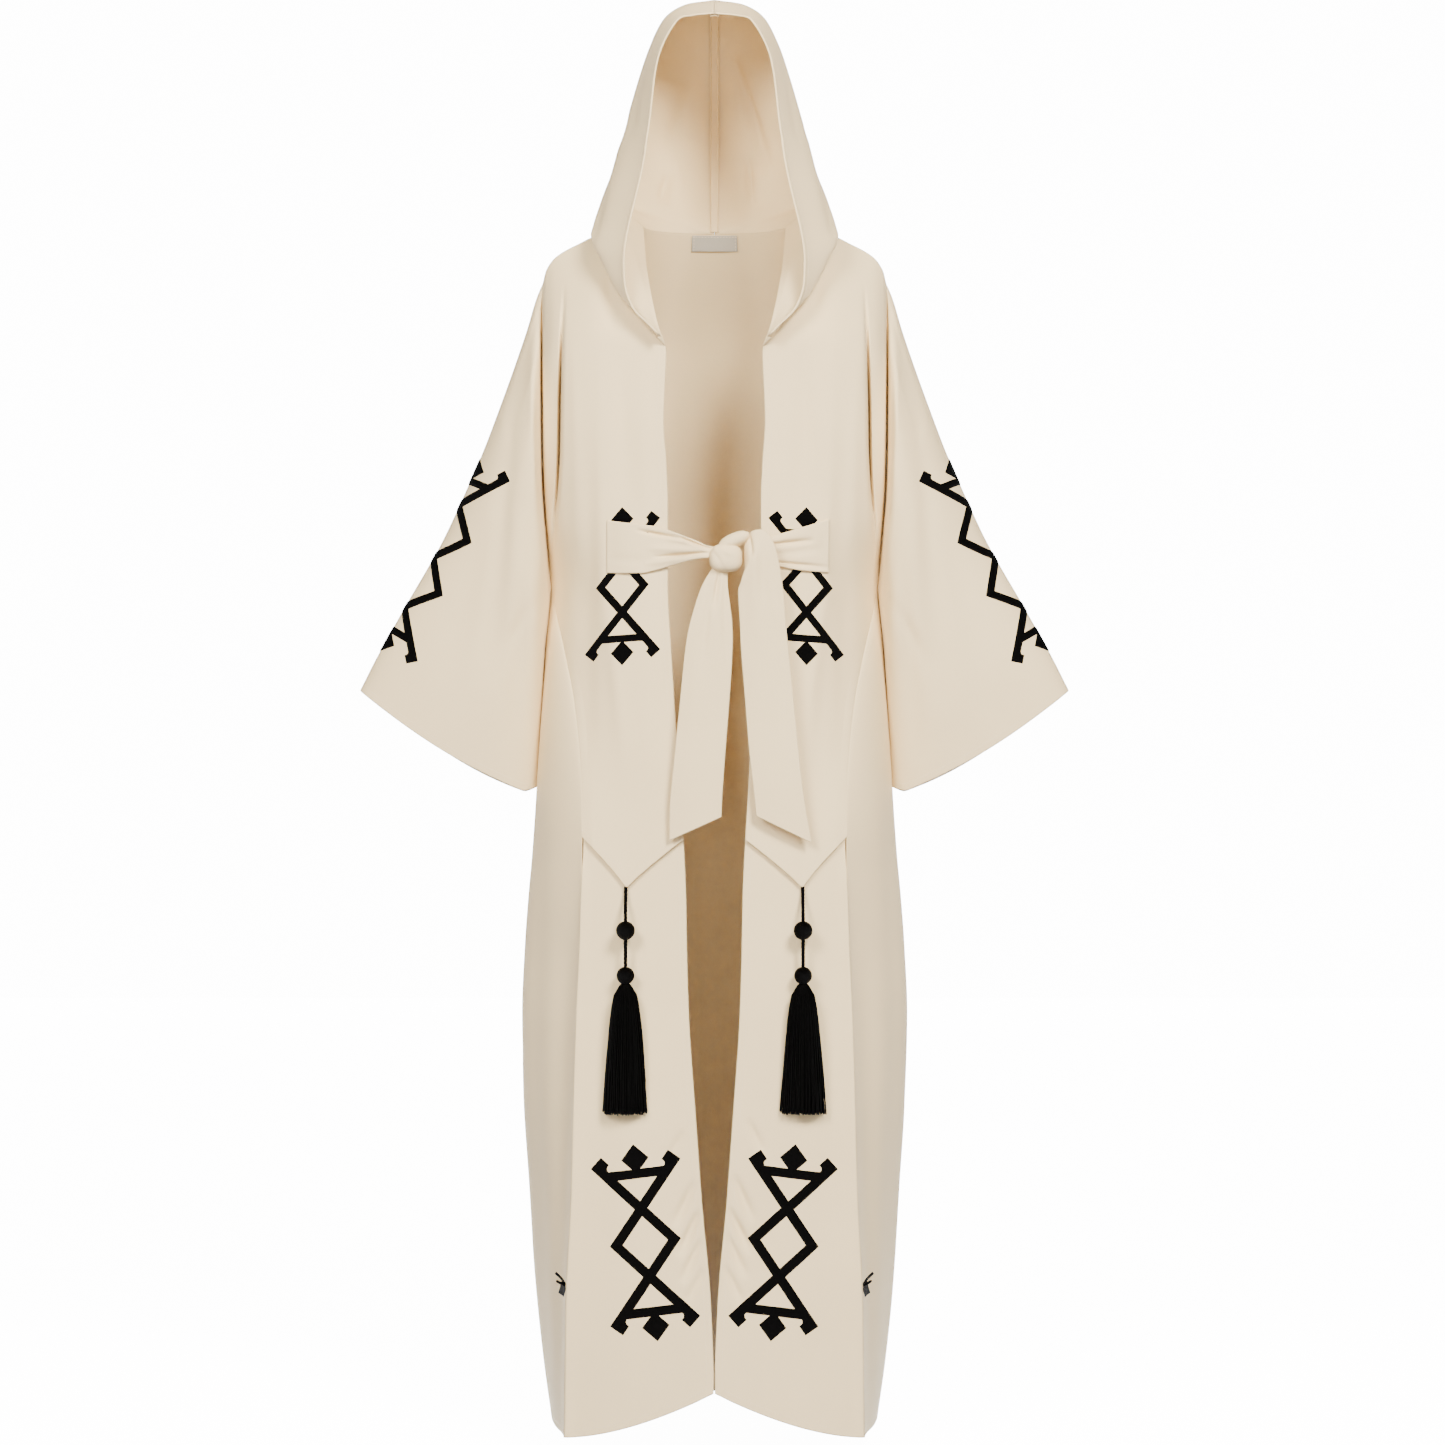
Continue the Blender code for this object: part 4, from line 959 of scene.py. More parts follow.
def rim_walks(rows, columns, closed):
    """The loops of row and column numbers that run round a grid's free edges, back to their first."""
    across, down = range(columns), range(rows)
    if closed:
        return [[(0, c) for c in across], [(rows - 1, c) for c in across[::-1]]]
    top = [(0, c) for c in across[:-1]]
    end = [(r, columns - 1) for r in down[:-1]]
    bottom = [(rows - 1, c) for c in across[:0:-1]]
    return [top + end + bottom + [(r, 0) for r in down[::-1]]]


def cloth(name, piece, side=1, hems=(), seams=(), folds=(), rolls=(), closed=False, **looks):
    """A shell of cloth inside a grid of points, with turned hems, seams, rolls and folds along lines.

    A closed piece is a tube, and its grid repeats the first column as its last."""
    thickness, finish = looks.get("thickness", CLOTH), looks.get("finish", CREPE_CLOTH)
    points, directions = piece["points"], piece["normals"]
    lift, back = 0.0, thickness
    if len(rolls):
        rolled = ROLL * np.exp(-(((away_from(points, rolls)[..., None] - ROLL_IN) / ROLL_WIDTH) ** 2))
        lift, back = lift + rolled, back + rolled
    if len(hems):
        away = away_from(points, hems)[..., None]
        turned = eased(ramp(HEM_WIDTH + HEM_STEP / 2 - away, HEM_STEP))
        dent = STITCH_DENT * np.exp(-(((away - STITCH_IN) / STITCH_DENT_WIDTH) ** 2))
        lift, back = lift + HEM_LIFT * turned - dent, back + HEM_BACK * turned - dent
    if len(seams):
        lift = lift - SEAM_DIP * np.exp(-((away_from(points, seams)[..., None] / SEAM_WIDTH) ** 2))
    rows, columns = points.shape[:2]
    outward, free = np.zeros_like(points), away_from(points, [*hems, *folds, *rolls])[..., None] < 1e-5
    for edge in ("top", "bottom") if closed else EDGES:
        outward[EDGES[edge]] += unit(points[EDGES[edge]] - points[BESIDE[edge]])
    outer = mirrored(points + directions * lift, side)
    inner = mirrored(points - directions * back, side)
    outward = mirrored(unit(outward), side)
    real = columns - 1 if closed else columns
    number = ring_numbers(rows, real) if closed else np.arange(rows * real).reshape(rows, real)
    place = np.zeros((rows, columns, 2))
    place[:, 1:, 0] = np.cumsum(lengths(np.diff(points, axis=1))[..., 0], axis=1)
    place[1:, :, 1] = np.cumsum(lengths(np.diff(points, axis=0))[..., 0], axis=0)
    faces_out, places_out = grid_faces(number, place)
    vertices = [outer[:, :real].reshape(-1, 3), inner[:, :real].reshape(-1, 3)]
    faces = [faces_out, (faces_out + rows * real)[:, ::-1]]
    places = [places_out, places_out[:, ::-1]]
    total = 2 * rows * real
    for walk in rim_walks(rows, columns, closed):
        at = tuple(np.array(walk).T)
        middle, half = (outer[at] + inner[at]) / 2, (outer[at] - inner[at]) / 2
        rings = [number[at]]
        for turn in (math.pi / 4, math.pi / 2, 3 * math.pi / 4):
            ring = middle + half * math.cos(turn) + outward[at] * lengths(half) * math.sin(turn) * free[at]
            vertices.append(ring[:-1])
            rings.append(total + np.append(np.arange(len(walk) - 1), 0))
            total += len(walk) - 1
        rings.append(number[at] + rows * real)
        spots = place[at]
        for first, second in zip(rings, rings[1:]):
            faces.append(np.stack([first[:-1], first[1:], second[1:], second[:-1]], axis=-1))
            places.append(np.stack([spots[:-1], spots[1:], spots[1:], spots[:-1]], axis=1))
    return add_piece(name, *(np.concatenate(parts) for parts in (vertices, faces, places)), finish)


def sewn(name, solid, piece, *edges, held="hung", slot="crepe", **looks):
    """Cloth in place of its solid, declared with its flat size: widest row, longest column and area."""
    made = fit(cloth(name, piece, *edges, **looks), slot, solid)
    points = piece["points"]
    across, down = lengths(np.diff(points, axis=1))[..., 0], lengths(np.diff(points, axis=0))[..., 0]
    width, length = across.sum(axis=1).max(), down.sum(axis=0).max()
    faces = np.cross(points[1:, 1:] - points[:-1, :-1], points[:-1, 1:] - points[1:, :-1])
    area = min(lengths(faces).sum() / 2, width * length)
    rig.sheet(made, flat=(round(float(width), 4), round(float(length), 4)), held=held, area=float(area))


def shared_edge(first, second, edge, other):
    """Gives two panels the same normals where one's edge runs along the other's, at the same heights."""
    own, its = first["normals"][EDGES[edge]], second["normals"][EDGES[other]]
    heights, its_heights = first["points"][EDGES[edge]][:, 2], second["points"][EDGES[other]][:, 2]

    def read(at, places, values):
        return np.stack([smooth(at, places, values[:, k]) for k in range(3)], axis=-1)

    new_own = unit(own + read(heights, its_heights, its))
    new_its = unit(its + read(its_heights, heights, own))
    met = (heights >= its_heights.min() - 1e-6) & (heights <= its_heights.max() + 1e-6)
    its_met = (its_heights >= heights.min() - 1e-6) & (its_heights <= heights.max() + 1e-6)
    own[met], its[its_met] = new_own[met], new_its[its_met]


LOW_TOP = POINT_TOP
LOW_LAST = -1.340
LOW_ROWS = between(LOW_TOP, LOW_LAST, 0.009)
FRONT_ROWS = between(LOW_TOP, LOW_LAST, 0.0042)
FRONT_GAP = 0.0011
FRONT_GAP_REACH = 0.02
BACK_HEIGHTS = between(UNDERARM, LOW_LAST, 0.0150)
HEM_DROP = LOW_LAST - SIDE_HEM
HEM_SHARES = np.concatenate([between(0.0, 0.80, 0.09)[1:], 1 - EDGE_STEPS[::-1] / HEM_DROP])
GORE_COLUMNS = between(0.0, 1.0, 0.028)
NECK_TURNS = between(0.0, math.pi / 2, 0.07)


def front_grid():
    place = LOW_COLUMNS
    hem = SIDE_HEM + HEM_RISE * (1 - place) ** HEM_CURVE
    rows = [front_surface(place, np.full_like(place, z)) for z in FRONT_ROWS]
    rows += [front_surface(place, LOW_LAST + (hem - LOW_LAST) * share) for share in HEM_SHARES]
    rows = np.array(rows)
    rows[..., 0] += FRONT_GAP * ramp(FRONT_GAP_REACH - rows[..., 0], FRONT_GAP_REACH)
    return rows


LOW_HEIGHTS = np.concatenate([LOW_ROWS, LOW_LAST - HEM_DROP * HEM_SHARES])
ALL_HEIGHTS = np.concatenate([SIDE_ROWS[:-1], LOW_HEIGHTS])


def gore_grid():
    return np.array([gore_surface(GORE_COLUMNS, np.full_like(GORE_COLUMNS, z)) for z in ALL_HEIGHTS])


def back_grid():
    """Half the back, from the armhole in to the centre."""
    seam_x, seam_z = shoulder_seam(FRONT_COLUMNS)
    neck = NECK_HALF_WIDTH * np.sin(NECK_TURNS[-2::-1])
    top_x = np.concatenate([seam_x[::-1], neck])
    top_z = np.concatenate([seam_z[::-1], np.zeros(len(neck))])
    top_y = NECK_BACK * np.sqrt(ramp(1 - (top_x / NECK_HALF_WIDTH) ** 2))
    place = top_x / body_width("fold", top_z)
    rows = [back_surface(place, top_z + (UNDERARM - top_z) * share, top_z, top_y) for share in UPPER_SHARES]
    heights = np.concatenate([BACK_HEIGHTS[1:], LOW_LAST - HEM_DROP * HEM_SHARES])
    rows += [back_surface(place, np.full_like(place, z), 0.0, top_y) for z in heights]
    return np.array(rows)


FLARE = 0.0024
FLARE_HEIGHT = 0.050
FLARE_FADE = 0.12
overlay_points = overlay_grid()
rise = overlay_points[..., 2] - overlay_points[-1:, :, 2]
from_seam = eased(ramp(1 - FRONT_COLUMNS, FLARE_FADE))
overlay_points[..., 1] -= FLARE * np.exp(-((rise / FLARE_HEIGHT) ** 1.5)) * from_seam
overlay = panel(overlay_points, (60, 20), 1, -1)
front = panel(front_grid(), (40, 20), 1, -1)
gore = panel(gore_grid(), (40, 16), 0)
back = panel(back_grid(), (90, 20), 1)
shared_edge(front, gore, "end", "start")
shared_edge(overlay, gore, "end", "start")
shared_edge(back, gore, "start", "end")
share_normals(overlay["normals"][0], back["normals"][0, len(FRONT_COLUMNS) - 1 :: -1])
back["normals"][:, -1, 0] = 0
back["normals"][:, -1] = unit(back["normals"][:, -1])
NECK_END = -0.150
SEAM_FADE = 0.08
EDGE_FADE = 0.10
CREASES_BELOW = -0.030
on_neck = rims(overlay, "start")[0][:, 2] > NECK_END
CHEST_CREASES = {
    -1: (
        (126, -56, 119, -130, 7.5, 4.2), (142, -150, 148, -620, 11, 2.2),
        (166, -150, 158, -420, 8, -1.6), (108, -170, 112, -340, 9, 1.4), (78, -190, 80, -700, 13, -1.2),
        (130, -430, 124, -700, 12, 1.6), (160, -390, 144, -660, 12, 2),
    ),
    1: (
        (124, -60, 118, -124, 8, 4), (146, -170, 144, -580, 12, 2), (168, -170, 160, -440, 8, -1.6),
        (104, -160, 112, -330, 9, 1.6), (82, -210, 78, -690, 13, -1.2), (134, -450, 122, -690, 13, 1.8),
        (162, -380, 146, -650, 11, 2.2),
    ),
}
beside = ramp(1 - FRONT_COLUMNS, SEAM_FADE) * ramp(FRONT_COLUMNS, EDGE_FADE)
beside = beside * ramp(CREASES_BELOW - overlay["points"][..., 2], 0.04)
overlays, overlay_hems = {}, {}
for side, name in SIDES:
    hung = creased(overlay, FROM_FRONT, CHEST_CREASES[side], beside)
    edge, bottom, *seams = rims(hung, "start", "bottom", "top", "end")
    overlays[side], overlay_hems[side] = hung, [edge[~on_neck], bottom]
    seams = [edge[on_neck], *seams]
    rolls = [edge[~on_neck]]
    sewn(f"upper_front_{name}", f"overlay_{name}", hung, side, overlay_hems[side], seams, rolls=rolls)

# The lower fronts: crepe panels sewn in behind the pointed hems. Their free edges curve in from the
# opening to meet at the middle of the floor-length hem.
UNDERLAP = 0.0034
FLUSH_FROM = 0.90
FLUSH_BELOW = -0.735
FLUSH_DROP = 0.045
flush = ramp(LOW_COLUMNS - FLUSH_FROM, 1 - FLUSH_FROM)
flush = flush * ramp(FLUSH_BELOW - front["points"][..., 2], FLUSH_DROP)
inset = UNDERLAP * (1 - eased(flush))[..., None]
under = {"points": front["points"] - inset * front["normals"], "normals": front["normals"]}
FRONT_CREASES = {
    -1: (
        (36, -1070, 54, -1102, 4.4, 3.6), (24, -1130, 46, -1178, 4.4, 5.8),
        (19, -1164, 40, -1212, 4.2, 6.4), (16, -1196, 37, -1242, 4, 5.6),
        (13, -1230, 33, -1270, 4.2, 4), (56, -930, 90, -1360, 24, 2), (128, -820, 138, -1380, 20, 3),
    ),
    1: (
        (38, -1056, 57, -1093, 4.6, 4), (23, -1122, 45, -1172, 4.6, 5.4),
        (18, -1160, 41, -1208, 4.2, 6.6), (15, -1190, 36, -1236, 4.2, 5.2),
        (12, -1226, 32, -1266, 4, 4.4), (62, -950, 86, -1370, 22, 2.2),
        (133, -840, 134, -1390, 22, 2.8),
    ),
}
near_seams = ramp(1 - LOW_COLUMNS, SEAM_FADE) * ramp(LOW_TOP - 0.08 - under["points"][..., 2], 0.05)
lower_fronts, lower_hems = {}, {}
for side, name in SIDES:
    fallen = creased(under, FROM_FRONT, FRONT_CREASES[side], near_seams)
    lower_fronts[side], lower_hems[side] = fallen, rims(fallen, "start", "bottom")
    hems, seams = lower_hems[side], rims(fallen, "end")
    sewn(f"lower_front_{name}", f"front_{name}", fallen, side, hems, seams, rolls=hems[:1])

# The side gores: wide crepe panels from the underarm to the hem, let in between the front and the
# back. Their seams are pressed, and their lower edge is turned and stitched like the other hems.
GORE_CREASES = {
    -1: (
        (-98, -860, -118, -1424, 18, 4.2), (-45, -700, -62, -1350, 20, 3.8),
        (22, -560, 10, -1200, 20, 3.6), (70, -800, 90, -1400, 22, 4),
        (-15, -1000, -12, -1424, 16, -2.8),
    ),
    1: (
        (-96, -880, -116, -1424, 18, 4), (-40, -660, -56, -1300, 20, 4), (30, -600, 20, -1260, 20, 3.4),
        (80, -840, 100, -1400, 22, 4.2), (-5, -1060, -10, -1424, 16, -3),
    ),
}
beside = eased(ramp(GORE_COLUMNS, EDGE_FADE) * ramp(1 - GORE_COLUMNS, EDGE_FADE))
beside = beside * ramp(UNDERARM - 0.03 - gore["points"][..., 2], 0.08)
gores = {}
for side, name in SIDES:
    gores[side] = creased(gore, FROM_SIDE, GORE_CREASES[side], beside)
    hems, seams = rims(gores[side], "bottom"), rims(gores[side], "start", "end")
    sewn(f"side_gore_{name}", f"gore_{name}", gores[side], side, hems, seams)

# The back: one crepe panel from the neck seam to the hem, and from shoulder to shoulder. It's seamed
# to the hood, the upper fronts, the sleeves and the gores, and its lower edge is turned and stitched.
BACK_CREASES = (
    (-150, -120, -128, -520, 17, 5), (154, -130, 132, -560, 17, 4.6), (-118, -620, -126, -1380, 26, 6),
    (112, -580, 132, -1360, 26, 5.6), (-50, -540, -64, -1400, 26, 5), (46, -660, 52, -1400, 28, 5.2),
    (2, -480, -6, -1300, 24, 3.4), (-86, -760, -98, -1420, 18, -3), (86, -820, 92, -1420, 18, -3),
    (-30, -110, -36, -420, 20, 2.2), (34, -90, 30, -380, 20, 2),
)
whole = {key: np.concatenate([half, mirrored(half, -1)[:, -2::-1]], axis=1) for key, half in back.items()}
beside = np.arange(whole["points"].shape[1])
beside = ramp(np.minimum(beside, beside[::-1]), 6) * ramp(-0.05 - whole["points"][..., 2], 0.08)
whole = creased(whole, FROM_FRONT, BACK_CREASES, beside)
sewn("back_cloth", "back", whole, 1, rims(whole, "bottom"), rims(whole, "top", "start", "end"))

# The sleeves: wide and dolman-cut, each a tube of crepe sewn into the armhole. The broad cuff is
# turned under and stitched.
CUFF_SAG = 0.011
CORNER_RISE = 0.012
CUFF_BACK_SAG = 0.0045
UNDERARM_CREASE = 0.006
CREASE_STARTS = 0.985
SLEEVE_FULLNESS = 0.45
SLEEVE_SETTLED = 0.30
OVERARM = table(
    "z x",
    (-67, 206.5), (-84, 213.6), (-122, 225), (-158, 237), (-194, 249.6), (-230, 262.8), (-266, 276.6),
    (-302, 292.2), (-338, 308.4), (-374, 325.5), (-410, 345.5), (-446, 366.6), (-482, 387),
    (-518, 406.8), (-554, 424.8),
)
UNDERARM_LINE = table(
    "z x",
    (-430, 198.8), (-500, 202), (-560, 205.2), (-620, 208.6), (-681, 211.8),
)
SLEEVE_DEPTH = table(
    "along half",
    (0, 66), (100, 82), (300, 78), (600, 60), (1000, 42),
)
SLEEVE_LENGTH = 0.45
SEAM_LOOPS = [0.0, 0.003, 0.006, 0.009, 0.013, 0.018, 0.024, 0.032]
CUFF_LOOPS = 1 - EDGE_STEPS[::-1] / SLEEVE_LENGTH
SLEEVE_LOOPS = np.concatenate([SEAM_LOOPS, between(0.044, 0.955, 0.016), CUFF_LOOPS])


def sleeve_grid():
    """The sleeve's loops. The first lies on the armhole: down the front, under and up the back."""
    upper = len(UPPER_SHARES)
    front_edge, back_edge = overlay["points"][:upper, -1], back["points"][:upper, 0]
    under_edge = gore["points"][0, 1:-1]
    loop = np.concatenate([front_edge, under_edge, back_edge[::-1]])
    over, base = loop[0, 2], UNDERARM
    down = (loop[:, 2] - over) / (base - over)
    sign = np.sign(np.where(np.abs(loop[:, 1]) < 1e-6, 0, loop[:, 1]))
    own = np.abs(loop[:, 1] - armhole_valleys(loop))
    low_x = look_up(UNDERARM_LINE, "x", base)
    straight = loop[0, 0] + (low_x - loop[0, 0]) * down
    stray = loop[:, 0] - straight
    rounded = ramp(4 * down * (1 - down)) ** SLEEVE_FULLNESS
    folded = down > CREASE_STARTS
    rows = []
    for along in SLEEVE_LOOPS:
        half = look_up(SLEEVE_DEPTH, "half", along)
        top_z = over + (OVERARM["z"].min() - over) * along
        low_z = base + (UNDERARM_LINE["z"].min() - base) * along
        top_x, low_x = look_up(OVERARM, "x", top_z), look_up(UNDERARM_LINE, "x", low_z)
        mix = ramp(along, SLEEVE_SETTLED)
        fade = 1 - mix
        wide = np.where(folded, own * UNDERARM_CREASE / own[folded].max(), half * rounded)
        depth = own * half / SLEEVE_DEPTH["half"][0] * fade + wide * mix
        x = top_x + (low_x - top_x) * down + stray * fade
        z = top_z + (low_z - top_z) * down - CUFF_SAG * along * np.sin(math.pi * down)
        z = z - CUFF_BACK_SAG * np.maximum(sign, 0) * along**4 * np.sin(math.pi * down**1.6)
        z = z + CORNER_RISE * along**6 * ramp(down - 0.92, 0.08) ** 1.2
        rows.append(np.stack([x, sign * depth, z], axis=-1))
    rows = np.array(rows)
    rows[..., 1] += armhole_valleys(rows) * ramp(0.2 - SLEEVE_LOOPS[:, None], 0.2)
    return rows


loops = sleeve_grid()
directions = normals(loops[:, :-1], True)
directions *= np.sign((directions[30] * (loops[30, :-1] - loops[30, :-1].mean(axis=0))).sum())
sleeve = {"points": loops, "normals": np.concatenate([directions, directions[:, :1]], axis=1)}
SLEEVE_CREASES = {
    -1: (
        (
            (242, -240, 268, -540, 13, 4.6), (216, -330, 242, -640, 11, 3.4),
            (270, -360, 330, -590, 16, 2.6), (210, -446, 260, -520, 8, 2.2),
        ),
        (
            (250, -220, 290, -560, 16, 5.6), (220, -340, 250, -630, 14, 4.4),
            (290, -360, 350, -560, 17, 3),
        ),
    ),
    1: (
        (
            (244, -230, 270, -560, 14, 4.4), (218, -350, 240, -630, 11, 3.6),
            (274, -370, 334, -600, 16, 2.4), (210, -450, 258, -530, 8, 2.4),
        ),
        (
            (246, -210, 286, -550, 16, 5.2), (224, -360, 256, -640, 14, 4.8),
            (286, -380, 346, -570, 17, 3.2),
        ),
    ),
}
apart = ramp(SLEEVE_LOOPS - 0.06, 0.12)[:, None]
inward = 1 - np.exp(-((np.abs(loops[..., 1]) / 0.022) ** 2))
sleeves = {}
for side, name in SIDES:
    folded = sleeve
    for creases, half in zip(SLEEVE_CREASES[side], (loops[..., 1] < 0, loops[..., 1] > 0)):
        folded = creased(folded, FROM_FRONT, creases, apart * inward * half, loops)
    folded["normals"][-1] = sleeve["normals"][-1]
    sleeves[side] = folded
    hems = rims(folded, "bottom")
    sewn(f"sleeve_cloth_{name}", f"sleeve_{name}", folded, side, hems, [loops[0]], closed=True)

# The hood: two halves of crepe sewn together over the crown and down the back, and sewn to the neck.
# The face edge is turned and rolled, and runs on down beside the neck opening.
HOOD = table(
    "edge_x edge_y edge_z out_x out_y out_z nape_x nape_y nape_z",
    (0, -75, 246.4, 0, -22, 270.5, 0, 6, 272.2), (27, -76, 243.5, 36, -15, 265.5, 30, 28, 265.5),
    (44.3, -78, 237.4, 60, -12, 250, 52, 42, 248), (62, -83, 207, 77.5, -12, 217, 70, 55, 215.5),
    (70.5, -88, 175, 89.5, -14, 182, 80, 66, 176), (76.5, -97, 120, 107.5, -18, 118, 94, 70, 118),
    (80, -102, 95, 116.5, -20, 90, 98, 62, 75), (83, -106, 71, 125, -22, 63, 98, 52, 40),
    (88, -110, 45, 133, -26, 40, 100, 45, 30), (93.8, -115, 19.6, 139.5, -30, 18, 102, 36, 26),
    (99, -119, -2, 144, -36, 2, 106, 22, 24), (103.4, -123, -24, 147, -45, -11, 113, -8, 18),
    (106, -126, -43, 145, -56, -22, 115, -28, 4), (106.2, -129, -62, 137, -70, -36, 113, -48, -16),
    (104.2, -132, -87.7, 125, -88, -60, 106, -74, -46),
    (94.4, -135, -111.4, 111, -104, -85, 94, -96, -80),
    (77.5, -136, -128.5, 88, -118, -113, 78, -113, -117),
    (61.5, -134.5, -144.6, 64, -124, -148, 60, -118, -152),
)
HOOD_CENTRE = table(
    "y z",
    (30, 270), (55, 262), (85, 243), (108, 212), (124, 168), (124, 105), (100, 50),
)
NECK_SHARES = (0.0, 0.035, 0.09, 0.16, 0.235, 0.31, 0.36)
NECK_STEPS = 4
NECK_FRONT = UPPER_SHARES[UPPER_SHARES <= NECK_SHARES[-1] + 1e-6]
HOOD_ROWS = np.concatenate(
    [
        between(0.0, 7.0, 0.125),
        7 + NECK_STEPS * np.sin(NECK_TURNS[1:]),
        7 + NECK_STEPS + np.interp(NECK_FRONT[1:], NECK_SHARES, range(len(NECK_SHARES))),
    ]
)
HOOD_ARC = 0.36
HOOD_COLUMNS = np.concatenate([EDGE_STEPS / HOOD_ARC, between(0.055, 0.985, 0.0120), [0.992, 1.0]])


def curve_through(points, at):
    """Points of a smooth curve through a list of points, at shares of its length from 0 to 1."""
    along = along_line(points)
    tangents = np.gradient(points, along, axis=0)
    at = np.asarray(at) * along[-1]
    left = np.clip(np.searchsorted(along, at) - 1, 0, len(points) - 2)
    step = np.diff(along)[left][:, None]
    part, slopes = (at - along[left])[:, None] / step, (step * tangents[left], step * tangents[left + 1])
    return eased_through(points[left], points[left + 1], *slopes, part)


def neck_line(at):
    """Points of the neck seam, at places counted in the hood's rows from the centre back."""
    behind = at <= NECK_STEPS
    x = NECK_HALF_WIDTH * ramp(at, NECK_STEPS)
    y = NECK_BACK * np.sqrt(ramp(1 - (x / NECK_HALF_WIDTH) ** 2))
    share = np.interp(at - NECK_STEPS, range(len(NECK_SHARES)), NECK_SHARES)
    before = front_surface(np.zeros_like(share), UNDERARM * share)
    return np.where(behind[:, None], np.stack([x, y, 0 * x], axis=-1), before)


def hood_grid():
    """Half the hood. Its first row and the end of its next rows lie on the centre seam."""
    centre = np.stack([0 * HOOD_CENTRE["y"], *HOOD_CENTRE.values()], axis=-1)
    centre_rows = len(centre)
    rows = []
    for row, line in enumerate(np.array([*HOOD.values()]).T.reshape(-1, 3, 3)):
        if row < centre_rows:
            beyond = mirrored(line[2], -1) if row else centre[1]
            line = np.array([*line, centre[row], beyond])
            gaps = lengths(np.diff(line, axis=0))[:, 0]
            rows.append(curve_through(line, HOOD_COLUMNS * gaps[:3].sum() / gaps.sum()))
        else:
            line = np.array([*line, neck_line(np.array([float(row - centre_rows)]))[0]])
            rows.append(curve_through(line, HOOD_COLUMNS))
    rows = smoothed(rows, HOOD_ROWS)
    below = HOOD_ROWS >= centre_rows
    miss = neck_line(HOOD_ROWS[below] - centre_rows) - rows[below, -1]
    rows[below] += miss[:, None] * (HOOD_COLUMNS[:, None] ** 6)
    rows[~below, -1, 0] = 0
    rows[0, :, 0] = 0
    return rows


def outward_of(line):
    """The directions out of a line of points that lies in the garment's middle plane."""
    tangents = np.gradient(line, axis=0)
    return unit(np.stack([0 * tangents[:, 0], -tangents[:, 2], tangents[:, 1]], axis=-1))


hood = panel(hood_grid(), (40, 30), 0)
centre_rows = int(np.searchsorted(HOOD_ROWS, len(HOOD_CENTRE["y"]))) + 1
crown = hood["points"][0]
nape_line = hood["points"][1:centre_rows, -1]
centre_line = np.concatenate([crown, nape_line])
middle = outward_of(centre_line)
hood["normals"][0] = middle[: len(crown)]
hood["normals"][1:centre_rows, -1] = middle[len(crown) :]
hood["points"][..., 0] = np.maximum(hood["points"][..., 0], SEAM_GAP)
neck_body = [back["normals"][0, ::-1][: len(NECK_TURNS)], overlay["normals"][1 : len(NECK_FRONT), 0]]
hood["normals"][centre_rows - 1 :, -1] = np.concatenate(neck_body)
hood_edge, hood_seams = rims(hood, "start"), rims(hood, "top", "end")
HOOD_CREASES = {
    -1: (
        (118, -50, 100, 90, 10, 4), (60, 20, 90, 180, 16, 3.6), (-70, -30, -20, 80, 12, 3),
        (20, 10, -10, 130, 16, 3.4), (-60, 100, -20, 220, 14, 2.2), (-100, -90, -50, -20, 9, 2.2),
    ),
    1: (
        (110, -30, 90, 100, 11, 3.6), (50, 30, 86, 190, 16, 4), (-68, -20, -14, 90, 13, 3.4),
        (24, 0, 2, 120, 15, 3), (-64, 90, -26, 210, 14, 2.6), (-98, -100, -52, -30, 9, 2.6),
    ),
}
HOOD_INSIDE = {
    -1: (
        (57, 76, 65, 38, 5.2, -9), (30, 190, 56, 100, 10, -3.6), (48, 96, 42, 30, 8, 3),
    ),
    1: (
        (25, 214, 66, 80, 7, -12), (41, 98, 45, 42, 5, -9), (54, 130, 60, 50, 7, 3.6),
    ),
}
beside = ramp(np.minimum(HOOD_COLUMNS / 0.10, (1 - HOOD_COLUMNS) / 0.14)) * ramp(HOOD_ROWS, 1.5)[:, None]
behind = beside * ramp(hood["points"][..., 1], 0.03)
for side, name in SIDES:
    folded = creased(hood, FROM_SIDE, HOOD_CREASES[side], beside)
    folded = creased(folded, FROM_FRONT, HOOD_INSIDE[side], behind, hood["points"])
    sewn(f"hood_cloth_{name}", f"hood_{name}", folded, side, hood_edge, hood_seams, rolls=hood_edge)

# The tape: a narrow straight strip of crepe that covers the hood's centre seam inside, stitched down
# along both of its edges.
TAPE_HALF_WIDTH = 0.0052
TAPE_THICKNESS = 0.0006
TAPE_CLEARANCE = 0.0024
TAPE_ACROSS = np.array([0.0, 0.3, 0.55, 0.66, 0.72, 0.77, 0.81, 0.85, 0.89, 0.93, 0.97, 1.0])
TAPE_ACROSS = np.concatenate([-TAPE_ACROSS[:0:-1], TAPE_ACROSS])
TAPE_STEPS = 120
TAPE_DIP = 0.0018
tape_dip = TAPE_DIP * np.exp(-(((np.abs(TAPE_ACROSS) - 0.81) / 0.085) ** 2))
steps = resampled(centre_line, TAPE_STEPS)
tape_out = outward_of(steps)
tape_points = np.repeat(steps[:, None], len(TAPE_ACROSS), axis=1)
tape_points[..., 0] = TAPE_HALF_WIDTH * TAPE_ACROSS
tape_points -= (CLOTH + TAPE_CLEARANCE + tape_dip[:, None]) * tape_out[:, None]
tape = {"points": tape_points, "normals": np.repeat(tape_out[:, None], len(TAPE_ACROSS), axis=1)}
sewn("hood_seam_tape", "hood_tape", tape, folds=rims(tape, "start", "end"), thickness=TAPE_THICKNESS)

